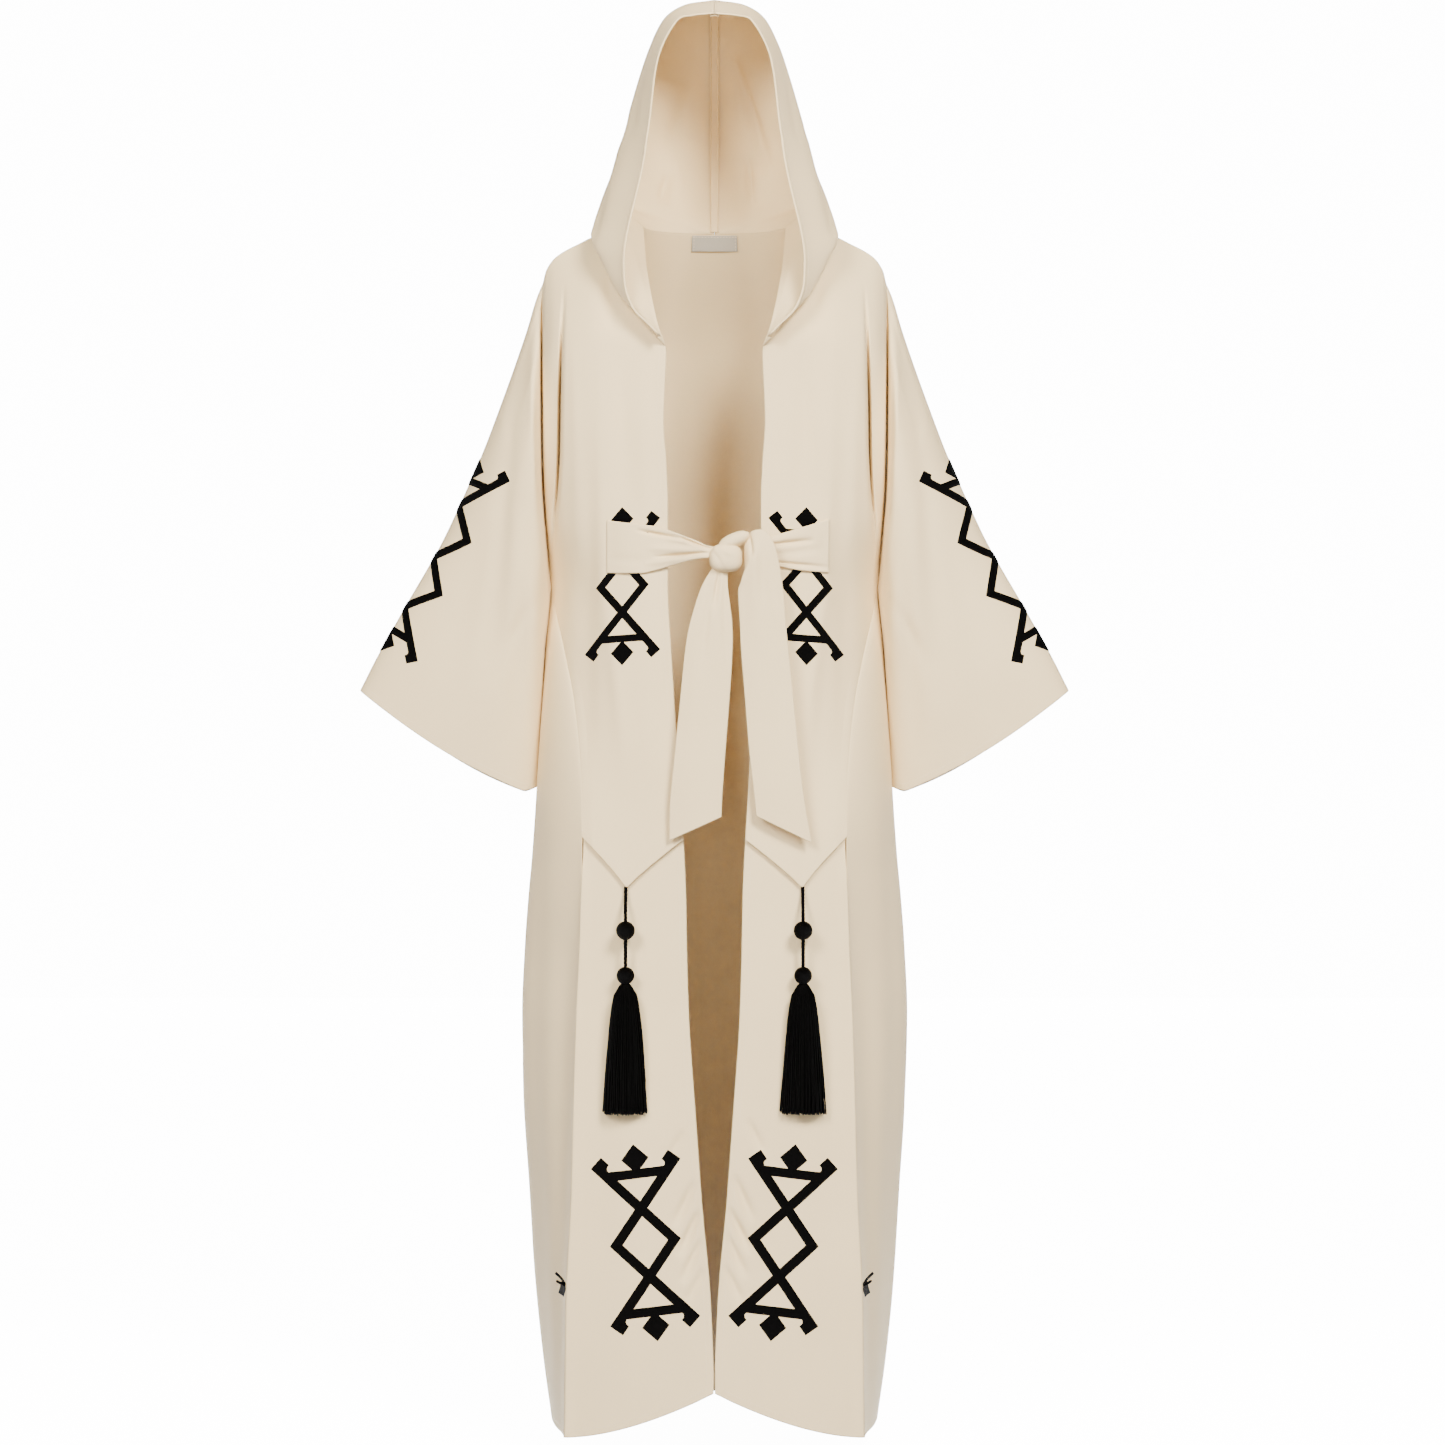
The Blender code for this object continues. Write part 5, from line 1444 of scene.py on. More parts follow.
# The label: a plain woven satin tab with folded ends. It's stitched to the inside of the back, just
# below the neck seam, along its top and down both ends.
LABEL_HALF_WIDTH = 0.0275
LABEL_TOP = -0.0012
LABEL_BOTTOM = -0.0192
LABEL_THICKNESS = 0.0006
LABEL_CLEARANCE = 0.0010
LABEL_SAG = 0.0009
SATIN = (0.370, 0.335, 0.265)
LABEL_SATIN = cloth_material("label_satin_weave", SATIN, 2600.0, 0.00005, 0.5, 0.15)
LABEL_ENDS = np.array([1.0, 0.985, 0.96, 0.93, 0.90])
label_across = np.concatenate([LABEL_ENDS, between(0.85, -0.85, 0.1), -LABEL_ENDS[::-1]])
x = LABEL_HALF_WIDTH * label_across
top_y = NECK_BACK * np.sqrt(1 - (x / NECK_HALF_WIDTH) ** 2)
rows = []
for z in between(LABEL_TOP, LABEL_BOTTOM, 0.0015):
    row = back_surface(np.abs(x) / body_width("fold", 0.0), np.full_like(x, z), 0.0, top_y)
    row[:, 0] = x
    down = (LABEL_TOP - z) / (LABEL_TOP - LABEL_BOTTOM)
    row[:, 1] -= LABEL_SAG * down * np.cos(math.pi / 2 * label_across) ** 0.5
    rows.append(row)
neck_tab = panel(np.array(rows), (3, 12), 1)
neck_tab["points"] = neck_tab["points"] - (CLOTH + LABEL_CLEARANCE) * neck_tab["normals"]
looks = {"folds": rims(neck_tab, *EDGES), "finish": LABEL_SATIN, "thickness": LABEL_THICKNESS}
sewn("woven_label", "neck_label", neck_tab, slot="label_satin", **looks)

# The belt's halves: doubled strips of crepe, sewn flat into the upper fronts and gathered into pleats
# where the knot takes them in.
BELT_CLOTH = 0.0020
BAND_CLEARANCE = 0.0011
BAND_SEWN = 0.0009
BAND_SUNK = 0.0019
LEFT_BAND = table(
    "x top bottom lift",
    (-127, -356.5, -416.5, 0), (-108, -359, -417.1, 1), (-87.3, -361.7, -417.1, 1.5),
    (-70, -364, -414, 2), (-54.5, -368.5, -409.5, 3), (-40, -373.8, -406, 7), (-25, -380.5, -402, 12),
    (-10.1, -386.8, -400, 16.5), (4, -389, -399.5, 16),
)
RIGHT_BAND = table(
    "x top bottom lift",
    (135.2, -355.1, -416, 0), (118, -360.5, -415, 1), (100.1, -366, -413.6, 1.5), (83, -371, -410.5, 2),
    (66.2, -376.1, -406.6, 3), (53, -380.5, -403, 5), (35, -386, -398, 8.5),
)
BAND_ROWS = np.concatenate([[0.0, 0.02, 0.05], between(0.09, 0.91, 0.028), [0.95, 0.98, 1.0]])
BAND_STEP = 0.0022
LEFT_BAND_CREASES = (
    (-90, -368, -35, -379, 2.2, 5.4), (-40, -377, -4, -390.5, 2, 6.6),
    (-70, -399, -4, -394.5, 1.8, 4.4), (-64, -374, -6, -387, 3.4, -2.8), (-75, -389, -6, -393, 5, -3),
    (-80, -407, -6, -398.5, 4, -2.4), (-124, -401, -70, -404, 6, 0.9),
)
RIGHT_BAND_CREASES = (
    (60, -385.5, 116, -379.5, 2.4, 4.2), (56, -404, 133, -411, 2, 4), (62, -396, 126, -390, 5, 3),
    (36, -387.5, 110, -370, 6, -2), (36, -392.5, 120, -392.5, 6, -2.6), (128, -364, 130, -410, 4, 0.8),
)


def front_y(x, z):
    """The front's outer face at one side's width and height, and the edge's beyond the opening."""
    opening, fold = body_width("opening", z), body_width("fold", z)
    return front_surface(ramp(np.abs(x) - opening, fold - opening), z)[..., 1]


def band_grid(band, sunk):
    at = between(band["x"][0], band["x"][-1], BAND_STEP)
    top, bottom, lift = (look_up(band, name, at) for name in ("top", "bottom", "lift"))
    x, z = np.broadcast_arrays(at, top + (bottom - top) * BAND_ROWS[:, None])
    inside = np.abs(at - at[0])
    y = front_y(x, z) - BAND_CLEARANCE + BAND_SEWN * ramp(0.020 - inside, 0.020) ** 2 - BELT_CLOTH - lift
    y = y + sunk * ramp(0.030 - inside, 0.030) ** 1.5
    return np.stack([x, y, z], axis=-1)


def strip(kind, name, grid, middle, creases, edges, held):
    """One doubled strip of the belt, creased, with its folded edges."""
    piece = creased(panel(grid, middle, 1, -1), FROM_FRONT, creases)
    looks = {"folds": rims(piece, *edges), "thickness": BELT_CLOTH, "held": held}
    sewn(f"belt_{kind[0]}_{name}", f"belt_{kind[1]}_{name}", piece, **looks)


for name, band, sunk, creases in (
    ("left", LEFT_BAND, BAND_SUNK, LEFT_BAND_CREASES),
    ("right", RIGHT_BAND, 0.0, RIGHT_BAND_CREASES),
):
    strip(("cloth", "band"), name, band_grid(band, sunk), (5, 10), creases, ("top", "bottom"), "stretched")

# The belt's ends: the same doubled strips, falling from the knot to slanted, neatly folded tips. The
# right one is folded over the top of the knot.
LEFT_TAIL = table(
    "left_x left_z right_x right_z forward",
    (-3, -414, 15, -416, 131), (-15, -436, 15.5, -436, 133), (-27.2, -475, 20, -475, 134.5),
    (-33.3, -508.8, 20.5, -508.8, 134.5), (-39.2, -567.3, 16.9, -567.3, 135),
    (-45, -625.7, 12.3, -625.7, 135), (-50.8, -684.2, 8.8, -675, 135.5),
    (-52, -729.7, 7.6, -702.9, 136),
)
RIGHT_TAIL = table(
    "left_x left_z right_x right_z forward",
    (35.1, -404, 35.1, -380, 131), (35.6, -413, 45, -369.8, 139), (33.3, -421.2, 59, -370.9, 143.5),
    (31, -430.5, 70.7, -389.6, 143.5), (28.6, -441.1, 78.9, -432.9, 141),
    (30.5, -475, 82.5, -475, 139.5), (32.1, -508.8, 85.9, -508.8, 138.5),
    (36.8, -567.3, 91.8, -567.3, 138), (41.5, -625.7, 97.6, -625.7, 138),
    (46.5, -670, 104, -680, 138.5), (49.7, -701.7, 112.8, -732.1, 139),
)
TAIL_BOW = 0.003
TAIL_COLUMNS = np.concatenate([[0.0, 0.02, 0.05], between(0.09, 0.91, 0.035), [0.95, 0.98, 1.0]])
LEFT_TAIL_CREASES = (
    (6, -417, -1, -460, 3, 4.4), (-5, -426, -15, -530, 4.5, 2.4), (12, -430, 14, -520, 4.2, 2),
    (-20, -500, -33, -660, 10, -1),
)
RIGHT_TAIL_CREASES = (
    (40, -372, 44, -400, 2.4, 3.2), (54, -376, 57, -450, 5, 1.6), (47, -390, 46, -490, 6, -1.6),
    (70, -430, 79, -560, 8, -1), (56, -520, 70, -660, 10, 0.8),
)


def tail_grid(tail):
    at = between(0.0, len(tail["left_x"]) - 1.0, 0.11)
    at = np.concatenate([at[:-1], at[-1] - np.array([0.05, 0.025, 0.01, 0.0])])
    read = {name: smoothed(values, at) for name, values in tail.items()}
    left, right = (
        np.stack([read[f"{edge}_x"], -read["forward"], read[f"{edge}_z"]], axis=-1)[:, None]
        for edge in ("left", "right")
    )
    points = left + (right - left) * TAIL_COLUMNS[:, None]
    points[..., 1] -= TAIL_BOW * np.sin(math.pi * TAIL_COLUMNS)
    return points


for name, tail, creases in (
    ("left", LEFT_TAIL, LEFT_TAIL_CREASES),
    ("right", RIGHT_TAIL, RIGHT_TAIL_CREASES),
):
    strip(("end", "tail"), name, tail_grid(tail), (20, 10), creases, ("start", "end", "bottom"), "hung")

# The knot: the doubled strip wrapped once round the other and pulled tight, a soft boxy lump with a
# rounded fold that rises over its right shoulder.
KNOT_CORE = (0.0172, -0.1310, -0.3890)
KNOT_LOBES = (
    ((0.0134, -0.1310, -0.4010), (0.0192, 0.0155, 0.0164), 0.0, 2.8),
    ((0.0235, -0.1325, -0.3800), (0.0192, 0.0115, 0.0084), 0.40, 2.2),
)
KNOT_SIDES = 96
KNOT_RINGS = 64
KNOT_BLEND = 14
KNOT_LAY = 0.018
KNOT_REACH = 0.06
KNOT_CREASES = (
    (-4, -390, 12, -416, 2.8, 1.2), (2, -388, 30, -400, 4, -1),
)


def lobe_reach(directions, centre, radii, tilt, boxiness):
    """How far each direction from the knot's core goes before it leaves one rounded lobe."""
    cosine, sine = math.cos(tilt), math.sin(tilt)
    turn = np.array([[cosine, 0, sine], [0, 1, 0], [-sine, 0, cosine]])
    start = turn @ (np.array(KNOT_CORE) - centre) / radii
    ways = directions @ turn.T / radii
    low, high = np.zeros(ways.shape[:-1]), np.full(ways.shape[:-1], KNOT_REACH)
    for _ in range(30):
        middle = (low + high) / 2
        inside = (np.abs(start + ways * middle[..., None]) ** boxiness).sum(-1) < 1
        low, high = np.where(inside, middle, low), np.where(inside, high, middle)
    return low


rise = between(math.pi / 2 - 0.02, -math.pi / 2 + 0.02, math.pi / KNOT_RINGS)[:, None]
turn = (2 * math.pi * np.arange(KNOT_SIDES + 1) / KNOT_SIDES)[None]
ways = round_ways(rise, turn)
reaches = [lobe_reach(ways, *lobe) for lobe in KNOT_LOBES]
reach = sum(np.maximum(r, 1e-6) ** KNOT_BLEND for r in reaches) ** (1 / KNOT_BLEND)
knot = {"points": np.array(KNOT_CORE) + reach[..., None] * ways, "normals": ways}
knot = creased(knot, FROM_FRONT, KNOT_CREASES, knot["points"][..., 1] < KNOT_CORE[1])["points"]
place = np.stack(np.broadcast_arrays(KNOT_LAY * turn, -KNOT_LAY * rise), axis=-1)
shape = capped_rings(knot[:, :-1], knot[[0, -1]].mean(axis=1), place)
fit(add_piece("belt_knot_cloth", *shape, CREPE_CLOTH), "crepe", "belt_knot")

# The borders: black thread worked into the cloth as raised bars. Two bars zigzag across one another into
# diamonds, run on past a cross bar to small hooks, and a lozenge stands beyond each cross bar.
WORK_LIFT = 0.0009
WORK_EDGE = 0.00025
WORK_SINK = 0.0004
WORK_ROUND = 0.0016
WORK_MESH = 0.0017
WORK_INSET = 0.0010
PRESSED = 0.2
BELT_REACH = 0.137
BELT_TOP = -0.352
BELT_BOTTOM = -0.4185
# Each: diamonds, height, slope, arm, cross bar, lozenge, its half sizes, half width, hook, first arm cut.
FRONT_WORK = (1, 0.0393, 0.87, 0.0558, 0.0407, 0.0580, (0.0160, 0.0172), 0.0057, (0.0128, 0.0065))
WAIST_WORK = (1, 0.0305, 0.84, 0.0494, 0.0310, 0.0478, (0.0134, 0.0146), 0.0044, (0.0098, 0.0050), (1, 0.015))
SLEEVE_WORK = (2, 0.0344, 0.86, 0.0520, 0.0315, 0.0470, (0.0136, 0.0146), 0.0047, (0.0105, 0.0050))
HOOK_CURVE = 0.7
CUT_CROSS = 0.3
CROSS_THICKNESS = 0.95
FRONT_PLACE = ((0.0802, -1.1982), 7.3, 7.3)
WAIST_PLACE = ((0.1081, -0.4330), 0.0, 3.9)
SLEEVE_MIDDLE = -0.3945
BLACK_WORK = thread_material("black_worked_thread", 1500.0, 0.0, 0.00016, 0.75)


def bar(start, end, half, start_cut=None, end_cut=None):
    """A straight bar's outline, with square ends or ends cut off along the across direction."""
    start, end = np.array(start), np.array(end)
    ahead = unit(end - start)
    square = half * np.array([ahead[1], -ahead[0]])
    first = square if start_cut is None else np.array([start_cut, 0.0])
    last = square if end_cut is None else np.array([end_cut, 0.0])
    return np.array([start - first, end - last, end + last, start + first]), ahead


def hook_shapes(end, out, inward, half, long, wide):
    """A bar's small hook: a block across its end, and a rounded fillet in the corner."""
    block = [end - half * inward, end + (half + wide) * inward]
    block += [corner - long * out for corner in block[::-1]]
    base, curve = end - long * out + half * inward, HOOK_CURVE * wide
    centre = base + curve * (inward - out)
    turns = between(0.0, math.pi / 2, 0.4)
    arc = [centre + curve * (math.cos(t) * out - math.sin(t) * inward) for t in turns]
    fillet = [(np.array([base, one, two]), out) for one, two in zip(arc, arc[1:])]
    return [(np.array(block), inward), *fillet]


def lattice(diamonds, height, slope, arm, cross, lozenge, point, half, hook, cut=(0, 0.0)):
    """One border's convex outlines round its middle, and the way that each one's thread lies.

    Its axis runs down. Lengths run from the middle of the first crossing. A cut is the side and the
    length of a first arm that stops short."""
    last = 2 * height * diamonds
    shapes = []
    for side in (-1, 1):
        short = int(side == -cut[0])
        first = cut[1] if short else arm
        stops = [(-side * slope * first, -first)]
        stops += [(side * slope * height * (-1) ** k, height * (2 * k + 1)) for k in range(diamonds)]
        stops = np.array([*stops, ((-1) ** diamonds * side * slope * arm, last + arm)])
        corners = [None] + [half * math.hypot(1, slope)] * diamonds + [None]
        shapes += [bar(*stops[k : k + 2], half, *corners[k : k + 2]) for k in range(diamonds + 1)]
        for end, before in zip(stops[[0, -1]][short:], stops[[1, -2]][short:]):
            out = unit(end - before)
            inward = np.array([out[1], -out[0]])
            inward = inward * np.sign(-end[0] * inward[0])
            shapes += hook_shapes(end, out, inward, half, *hook)
    for v, shortened in ((-cross, cut[0]), (last + cross, 0)):
        ends = [(way * slope * cross * (CUT_CROSS if way == shortened else 1), v) for way in (-1, 1)]
        shapes.append(bar(*ends, CROSS_THICKNESS * half))
    across, tall = point
    for v in (-lozenge, last + lozenge):
        corners = np.array([(0, v - tall), (across, v), (0, v + tall), (-across, v)])
        shapes.append((corners, unit(np.array(point))))
    return [(outline - np.array([0, last / 2]), ahead) for outline, ahead in shapes]


def anticlockwise(outline):
    following = np.roll(outline, -1, axis=0)
    area = (outline[:, 0] * following[:, 1] - outline[:, 1] * following[:, 0]).sum()
    return outline if area > 0 else outline[::-1]


def depth_inside(points, outlines):
    """How far inside each convex outline the points lie: negative outside."""
    depths = []
    for outline in outlines:
        along = unit(np.roll(outline, -1, axis=0) - outline)
        left = np.stack([-along[:, 1], along[:, 0]], axis=-1)
        depths.append(((points[:, None] - outline) * left).sum(-1).min(axis=1))
    return np.array(depths)


def as_it_is(points):
    return points


def worked(name, shapes, onto, unfold=as_it_is, fold=as_it_is, pressed=None):
    """Raised thread-work: flat outlines joined, filled with small faces and laid on the cloth.

    Where the cloth turns away, unfold gives the places on the turned cloth at which the outlines' own
    places lie, and fold gives them back."""
    outlines = [anticlockwise(outline) for outline, _ in shapes]
    flat, edges, rings = [], [], []
    for outline in outlines:
        ring = []
        for start, end in zip(outline, np.roll(outline, -1, axis=0)):
            line = unfold(start + (end - start) * np.linspace(0, 1, 60)[:, None])
            count = max(2, int(math.ceil(along_line(line)[-1] / WORK_MESH)) + 1)
            ring.append(resampled(line, count)[:-1])
        ring = np.concatenate(ring)
        first = sum(map(len, flat))
        flat.append(ring)
        rings.append(list(range(first, first + len(ring))))
    low, high = np.concatenate(flat).min(axis=0), np.concatenate(flat).max(axis=0)
    across, down = (between(low[k], high[k], WORK_MESH) for k in (0, 1))
    inner = np.stack(np.meshgrid(across, down, indexing="ij"), axis=-1).reshape(-1, 2)
    flat.append(inner[depth_inside(fold(inner), outlines).max(axis=0) > WORK_INSET])
    flat = np.concatenate(flat)
    found = delaunay_2d_cdt([Vector(point) for point in flat], [], rings, 1, 1e-6)
    places = np.array([tuple(point) for point in found[0]])
    triangles = np.array(found[2])
    middles = depth_inside(fold(places[triangles].mean(axis=1)), outlines)
    filled = middles.max(axis=0) > 1e-6
    triangles, owners = triangles[filled], middles.argmax(axis=0)[filled]
    used = np.unique(triangles)
    places, triangles = places[used], np.searchsorted(used, triangles)
    base, outward = onto(fold(places))
    a, b, c = (base[triangles[:, k]] for k in range(3))
    faced = np.cross(b - a, c - a)
    smooth_out = np.zeros_like(base)
    for k in range(3):
        np.add.at(smooth_out, triangles[:, k], faced)
    smooth_out = unit(smooth_out)
    if (smooth_out * outward).sum() < 0:
        smooth_out, triangles = -smooth_out, triangles[:, ::-1]
    inside = ramp(depth_inside(fold(places), outlines).max(axis=0), WORK_ROUND)
    lift = WORK_EDGE + (WORK_LIFT - WORK_EDGE) * np.sqrt(1 - (1 - inside) ** 2)
    if pressed is not None:
        lift = lift * pressed(base)
    top, bottom = base + lift[:, None] * smooth_out, base - WORK_SINK * smooth_out
    number = len(places)
    keys = {tuple(pair) for k in range(3) for pair in triangles[:, [k, (k + 1) % 3]].tolist()}
    rim = np.array([pair for pair in sorted(keys) if pair[::-1] not in keys])
    walls = np.stack([rim[:, 0], rim[:, 0] + number, rim[:, 1] + number, rim[:, 1]], axis=-1)
    capped = np.concatenate([triangles, triangles[:, 2:]], axis=1)
    under = np.concatenate([triangles[:, ::-1], triangles[:, :1]], axis=1) + number
    faces = np.concatenate([capped, under, walls])
    lay = np.zeros((len(faces), 4, 2))
    for shape, (_, ahead) in enumerate(shapes):
        own = np.flatnonzero(owners == shape)
        spots = places[capped[own]]
        for offset in (0, len(capped)):
            lay[offset + own, :, 0] = spots @ ahead
            lay[offset + own, :, 1] = spots @ np.array([-ahead[1], ahead[0]])
    lay[2 * len(capped) :] = places[np.stack([rim[:, 0], rim[:, 0], rim[:, 1], rim[:, 1]], axis=-1)]
    return add_piece(name, np.concatenate([top, bottom]), faces, lay, BLACK_WORK)


def tree_of(piece):
    """A search tree of a piece's faces."""
    mesh = piece.data
    return BVHTree.FromPolygons([v.co for v in mesh.vertices], [p.vertices for p in mesh.polygons])


def cast_on(tree, points, way):
    """Where lines along y meet a piece's faces, at these places in x and z, and the outward directions."""
    hits, outward = [], []
    for (x, z), ahead in zip(points, np.broadcast_to(way, len(points))):
        place, normal, _, _ = tree.ray_cast(Vector((x, -ahead, z)), Vector((0.0, ahead, 0.0)))
        if place is None:
            place, normal, _, _ = tree.find_nearest(Vector((x, -0.004 * ahead, z)))
        hits.append(tuple(place))
        outward.append(tuple(normal))
    return np.array(hits), np.array(outward)


def flat_place(place, side):
    """Turns a border's own places into x and z on one side's front."""
    (x, z), lean, tilt = place[0], *np.radians(place[1:])
    across = np.array([math.cos(tilt), -math.sin(tilt)])
    down = np.array([-math.sin(lean), -math.cos(lean)])
    return lambda points: (np.array([x, z]) + points @ np.array([across, down])) * np.array([side, 1])


def under_belt(base):
    """Presses the thread-work flat where the belt lies over it."""
    x, z = np.abs(base[:, 0]), base[:, 2]
    return np.where((x < BELT_REACH) & (z < BELT_TOP) & (z > BELT_BOTTOM), PRESSED, 1.0)


def over_arm(side):
    """Turns places beside the over-arm line into x and z, and back and forth round the sleeve's turn."""
    line = loops[:, 0][:, [0, 2]]
    travelled = along_line(line)
    first = float(np.interp(-SLEEVE_MIDDLE, -line[:, 1], travelled))
    ahead = unit(np.gradient(line, axis=0))
    flat = np.linspace(0, 0.08, 400)
    turned = np.sqrt(flat**2 + (0.060 * (4 * flat / 0.24) ** SLEEVE_FULLNESS) ** 2)

    def spot(points):
        at = first + points[:, 1]
        on_line = np.stack([np.interp(at, travelled, line[:, k]) for k in (0, 1)], axis=-1)
        way = unit(np.stack([np.interp(at, travelled, ahead[:, k]) for k in (0, 1)], axis=-1))
        inward = np.stack([way[:, 1], -way[:, 0]], axis=-1)
        off = np.maximum(np.abs(points[:, :1]), 0.00012)
        return (on_line + off * inward) * np.array([side, 1])

    def reread(points, places, values):
        across = np.sign(points[:, 0]) * np.interp(np.abs(points[:, 0]), places, values)
        return np.stack([across, points[:, 1]], axis=-1)

    def unfold(points):
        return reread(points, flat, turned)

    def fold(points):
        return reread(points, turned, flat)

    return spot, unfold, fold


def front_border(label, name, cloth_name, shapes, spot, pressed=None):
    tree = tree_of(bpy.data.objects[f"{cloth_name}_{name}"])

    def onto(points):
        return cast_on(tree, spot(points), 1.0)

    fit(worked(f"{label}_border_{name}", shapes, onto, pressed=pressed), "black_thread")


for side, name in SIDES:
    front_border("hem", name, "lower_front", lattice(*FRONT_WORK), flat_place(FRONT_PLACE, side))
    at_waist = flat_place(WAIST_PLACE, side)
    front_border("waist", name, "upper_front", lattice(*WAIST_WORK), at_waist, under_belt)
    tree, (spot, unfold, fold) = tree_of(bpy.data.objects[f"sleeve_cloth_{name}"]), over_arm(side)

    def on_sleeve(points):
        return cast_on(tree, spot(points), np.where(points[:, 0] < 0, -1.0, 1.0))

    made = worked(f"sleeve_border_{name}", lattice(*SLEEVE_WORK), on_sleeve, unfold, fold)
    fit(made, "black_thread")

# The side borders: two short bars of black thread, raised like those of the other borders and worked
# into each gore beside the front fold.
SIDE_HOOK = (
    ((0.1742, -1.2485), (0.1868, -1.2405), 0.0017),
    ((0.1748, -1.2470), (0.1796, -1.2640), 0.0036),
)
for side, name in SIDES:
    shapes = [bar(start, end, half) for start, end, half in SIDE_HOOK]
    front_border("side", name, "side_gore", shapes, partial(np.multiply, (side, 1)))

# The topstitching: cream thread in even short stitches that sink a little into the cloth, along the
# turned hems, the cuffs, the hood's edge, the tape and the label.
STITCH_PITCH = 0.0036
STITCH_SIZE = (0.00024, 0.00024, 0.00150)
STITCH_RAISE = 0.00004
STITCH_SEED = 3
SHORTEST = 0.9
LONGEST = 1.08
STITCH_SEARCH = 14
THREAD_CREAM = (0.80, 0.655, 0.45)


def stitch_tree():
    """Small rounded stitches set at even steps along lines of edges."""
    inputs = [("Geometry", "Geometry", None), ("Pitch", "Float", STITCH_PITCH)]
    inputs += [("Size", "Vector", STITCH_SIZE), ("Seed", "Int", STITCH_SEED)]
    inputs.append(("Material", "Material", None))
    tree, given, end = node_group("topstitches", "GeometryNodeTree", inputs, [("Geometry", "Geometry")])
    lines = node(tree, "GeometryNodeMeshToCurve", {"Mesh": given["Geometry"]}).outputs[0]
    values = {"Curve": lines, "Length": given["Pitch"]}
    spots = node(tree, "GeometryNodeCurveToPoints", values, mode="LENGTH").outputs
    ball = node(tree, "GeometryNodeMeshUVSphere", {"Segments": 6, "Rings": 5, "Radius": 1.0}).outputs[0]
    values = {2: SHORTEST, 3: LONGEST, "Seed": given["Seed"]}
    uneven = node(tree, "FunctionNodeRandomValue", values, data_type="FLOAT")
    sized = node(tree, "ShaderNodeVectorMath", {0: given["Size"], 3: uneven.outputs[1]}, operation="SCALE")
    values = {"Points": spots[0], "Instance": ball, "Rotation": spots[3], "Scale": sized.outputs[0]}
    close_tree(tree, node(tree, "GeometryNodeInstanceOnPoints", values).outputs[0], given, end)
    return tree


def stitch_material():
    """Cream sewing thread, a little glossier than the cloth, with a slight change of tone."""
    made, tree, shader = new_material("cream_thread")
    slow = noise(tree, node(tree, "ShaderNodeTexCoord").outputs["Object"], 160.0, 2.0)
    tone = two_tones(tree, slow, THREAD_CREAM, 0.92, 1.0)
    feed(tree, shader, {"Base Color": tone, "Roughness": 0.55, "Specular IOR Level": 0.3})
    return made


def stitch_line(piece, lines, edge):
    """The line at a fixed distance inside a panel's edge, seen from that edge."""
    points = piece["points"] + STITCH_RAISE * piece["normals"]
    away = away_from(piece["points"], lines)
    if edge in ("start", "end"):
        points, away = points.transpose(1, 0, 2), away.T
    if edge in ("bottom", "end"):
        points, away = points[::-1], away[::-1]
    reached = away >= STITCH_IN
    first = reached.argmax(axis=0)
    good = reached.any(axis=0) & (first > 0) & (first < STITCH_SEARCH)
    first, column = first[good], np.flatnonzero(good)
    low, high = away[first - 1, column], away[first, column]
    part = ((STITCH_IN - low) / (high - low))[:, None]
    return points[first - 1, column] * (1 - part) + points[first, column] * part


stitch_lines = []
for side, name in SIDES:
    hemmed = [(overlays[side], overlay_hems[side], edge) for edge in ("start", "bottom")]
    hemmed += [(lower_fronts[side], lower_hems[side], edge) for edge in ("start", "bottom")]
    hemmed += [(piece, rims(piece, "bottom"), "bottom") for piece in (gores[side], sleeves[side])]
    hemmed.append((hood, hood_edge, "start"))
    stitch_lines += [mirrored(stitch_line(*parts), side) for parts in hemmed]
stitch_lines.append(stitch_line(whole, rims(whole, "bottom"), "bottom"))
inside = tape["points"] - (TAPE_THICKNESS + STITCH_RAISE) * tape["normals"]
stitch_lines += [inside[:, 3], inside[:, -4]]
inside = neck_tab["points"] - (LABEL_THICKNESS + STITCH_RAISE) * neck_tab["normals"]
stitch_lines += [inside[1, 2:-2], inside[1:-1, 3], inside[1:-1, -4]]
points = np.concatenate(stitch_lines)
ends = np.cumsum([len(line) for line in stitch_lines])
edges = [(k - 1, k) for k in range(1, len(points)) if k not in ends]
sewing = bpy.data.meshes.new("sewing_lines")
sewing.from_pydata(points.tolist(), edges, [])
values = {"Pitch": STITCH_PITCH, "Size": STITCH_SIZE, "Seed": STITCH_SEED, "Material": stitch_material()}
stitches = grown("topstitching", stitch_tree(), values, sewing)
stitches.data.shade_smooth()
fit(stitches, "crepe")

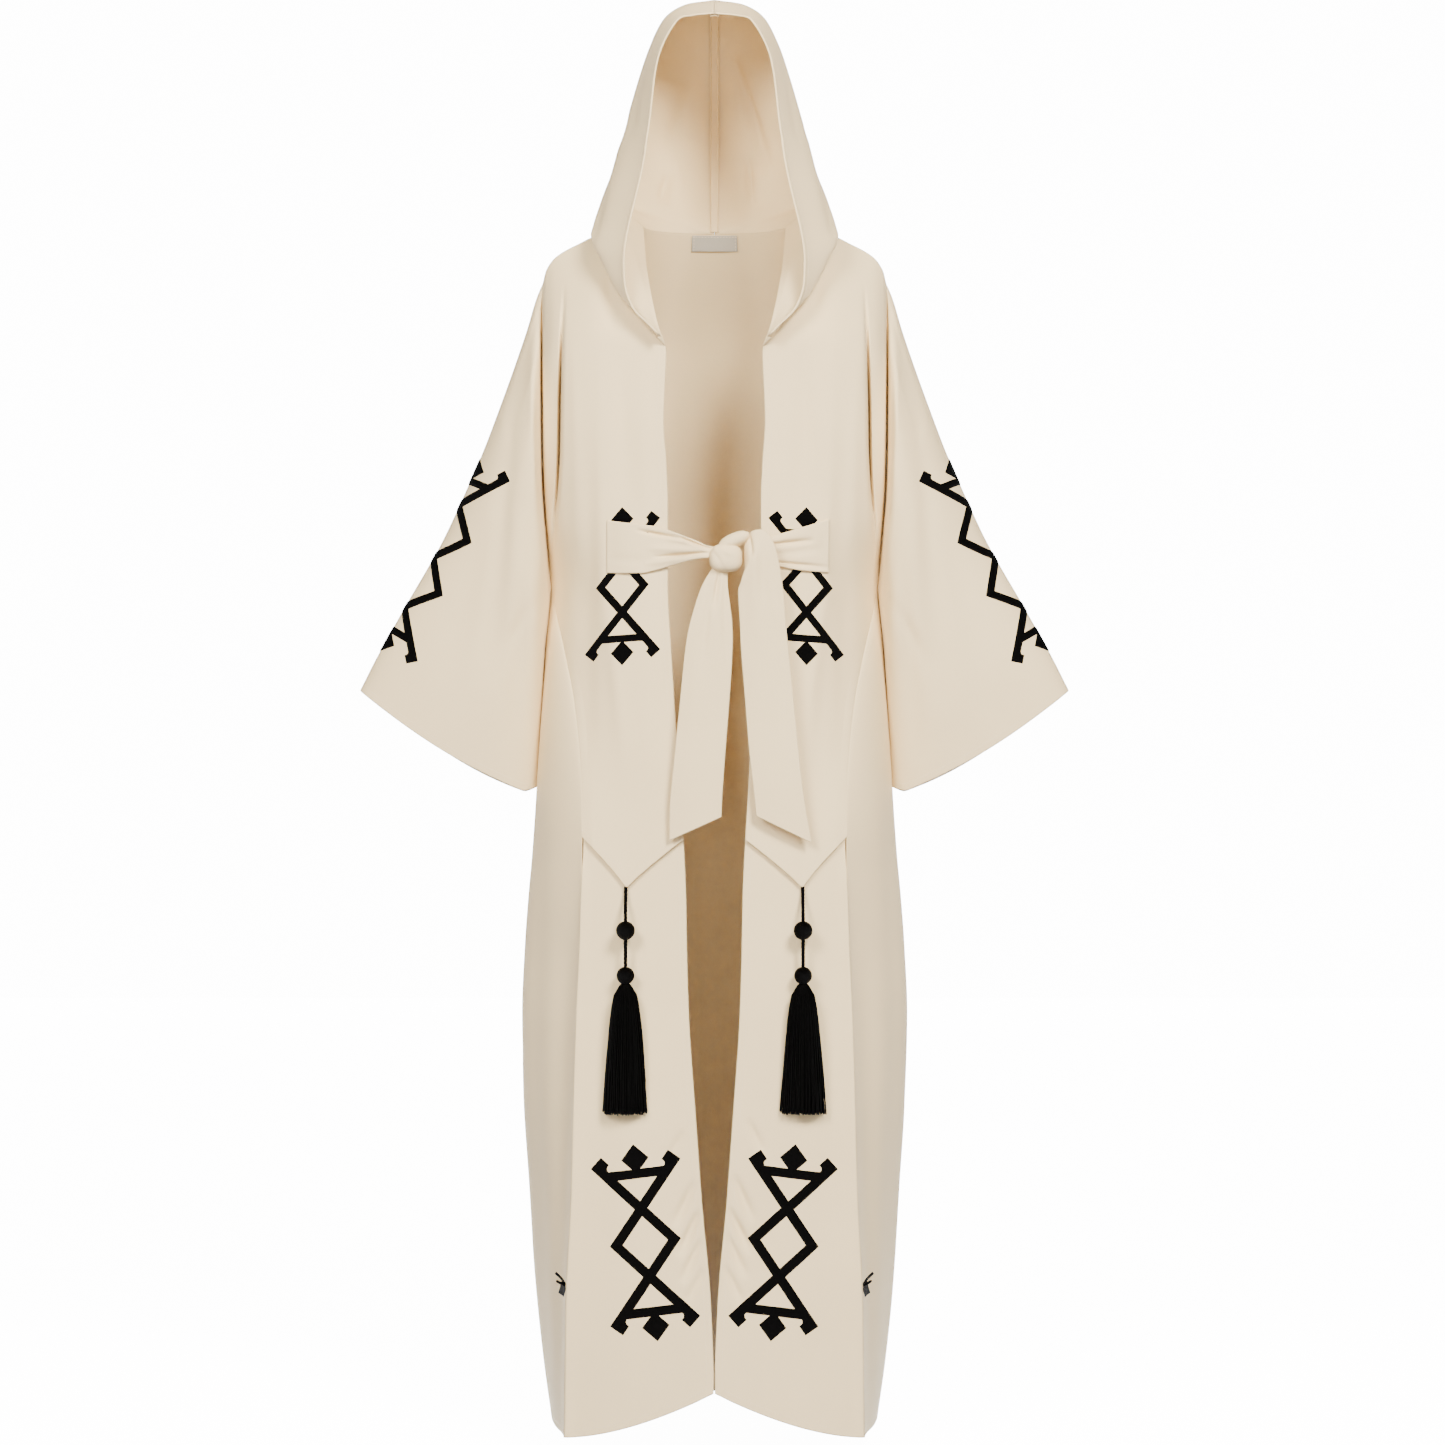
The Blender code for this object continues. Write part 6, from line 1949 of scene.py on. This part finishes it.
# The studio: a pale floor, a bright pale backdrop far behind, dim surroundings and large soft lamps
# in front, so that the folds keep their shade.
FLOOR = -1.4520
FLOOR_REACH = 14.0
BACKDROP_Y = 8.0
BACKDROP_HALF_WIDTH = 3.2
BACKDROP_TOP = 2.6
BACKDROP_GLOW = 14.0
FLOOR_GLOW = 14.0
SURROUND = 0.09
SURROUND_TINT = (1.0, 0.93, 0.83)
LAMP_TINT = (1.0, 0.955, 0.885)
STUDIO_WHITE = (0.90, 0.90, 0.90)
world = bpy.data.worlds.new("studio")
bpy.context.scene.world = world
world.use_nodes = True
surround = world.node_tree.nodes["Background"]
surround.inputs["Color"].default_value = (*SURROUND_TINT, 1.0)
surround.inputs["Strength"].default_value = SURROUND


def stage_plane(name, corners, glow):
    """A plain pale plane that isn't part of the garment."""
    finish, tree, shader = new_material(name)
    look = {"Base Color": (*STUDIO_WHITE, 1.0), "Roughness": 0.9}
    feed(tree, shader, {**look, "Emission Color": (1.0, 1.0, 1.0, 1.0), "Emission Strength": glow})
    mesh = bpy.data.meshes.new(name)
    mesh.from_pydata(corners, [], [(0, 1, 2, 3)])
    mesh.materials.append(finish)
    plane = bpy.data.objects.new(name, mesh)
    bpy.context.scene.collection.objects.link(plane)
    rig.stage(plane)
    plane.visible_diffuse = False


reach = FLOOR_REACH
across = ((-reach, -reach), (reach, -reach), (reach, BACKDROP_Y), (-reach, BACKDROP_Y))
stage_plane("floor", [(x, y, FLOOR) for x, y in across], FLOOR_GLOW)
reach = BACKDROP_HALF_WIDTH
upright = ((-reach, FLOOR), (reach, FLOOR), (reach, BACKDROP_TOP), (-reach, BACKDROP_TOP))
stage_plane("backdrop", [(x, BACKDROP_Y, z) for x, z in upright], BACKDROP_GLOW)
LAMPS = (
    ("key", (1.6, -3.5, 2.0), (0.0, 0.0, -0.3), 1.3, 465.0),
    ("fill", (-1.9, -3.7, 1.6), (0.0, 0.0, -0.4), 1.4, 305.0),
    ("front", (0.0, -5.0, -0.9), (0.0, 0.0, -0.3), 2.4, 95.0),
)
for name, place, aim, size, power in LAMPS:
    light = bpy.data.lights.new(name, "AREA")
    light.energy = power
    light.size = size
    light.color = LAMP_TINT
    lamp = bpy.data.objects.new(name, light)
    lamp.location = place
    lamp.rotation_euler = (Vector(aim) - Vector(place)).to_track_quat("-Z", "Y").to_euler()
    bpy.context.scene.collection.objects.link(lamp)

VISUAL_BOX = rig.bounds()
with open("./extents.json", "w") as out:
    json.dump({"cad": np.array(CAD_BOX).tolist(), "visual": np.array(VISUAL_BOX).tolist()}, out)
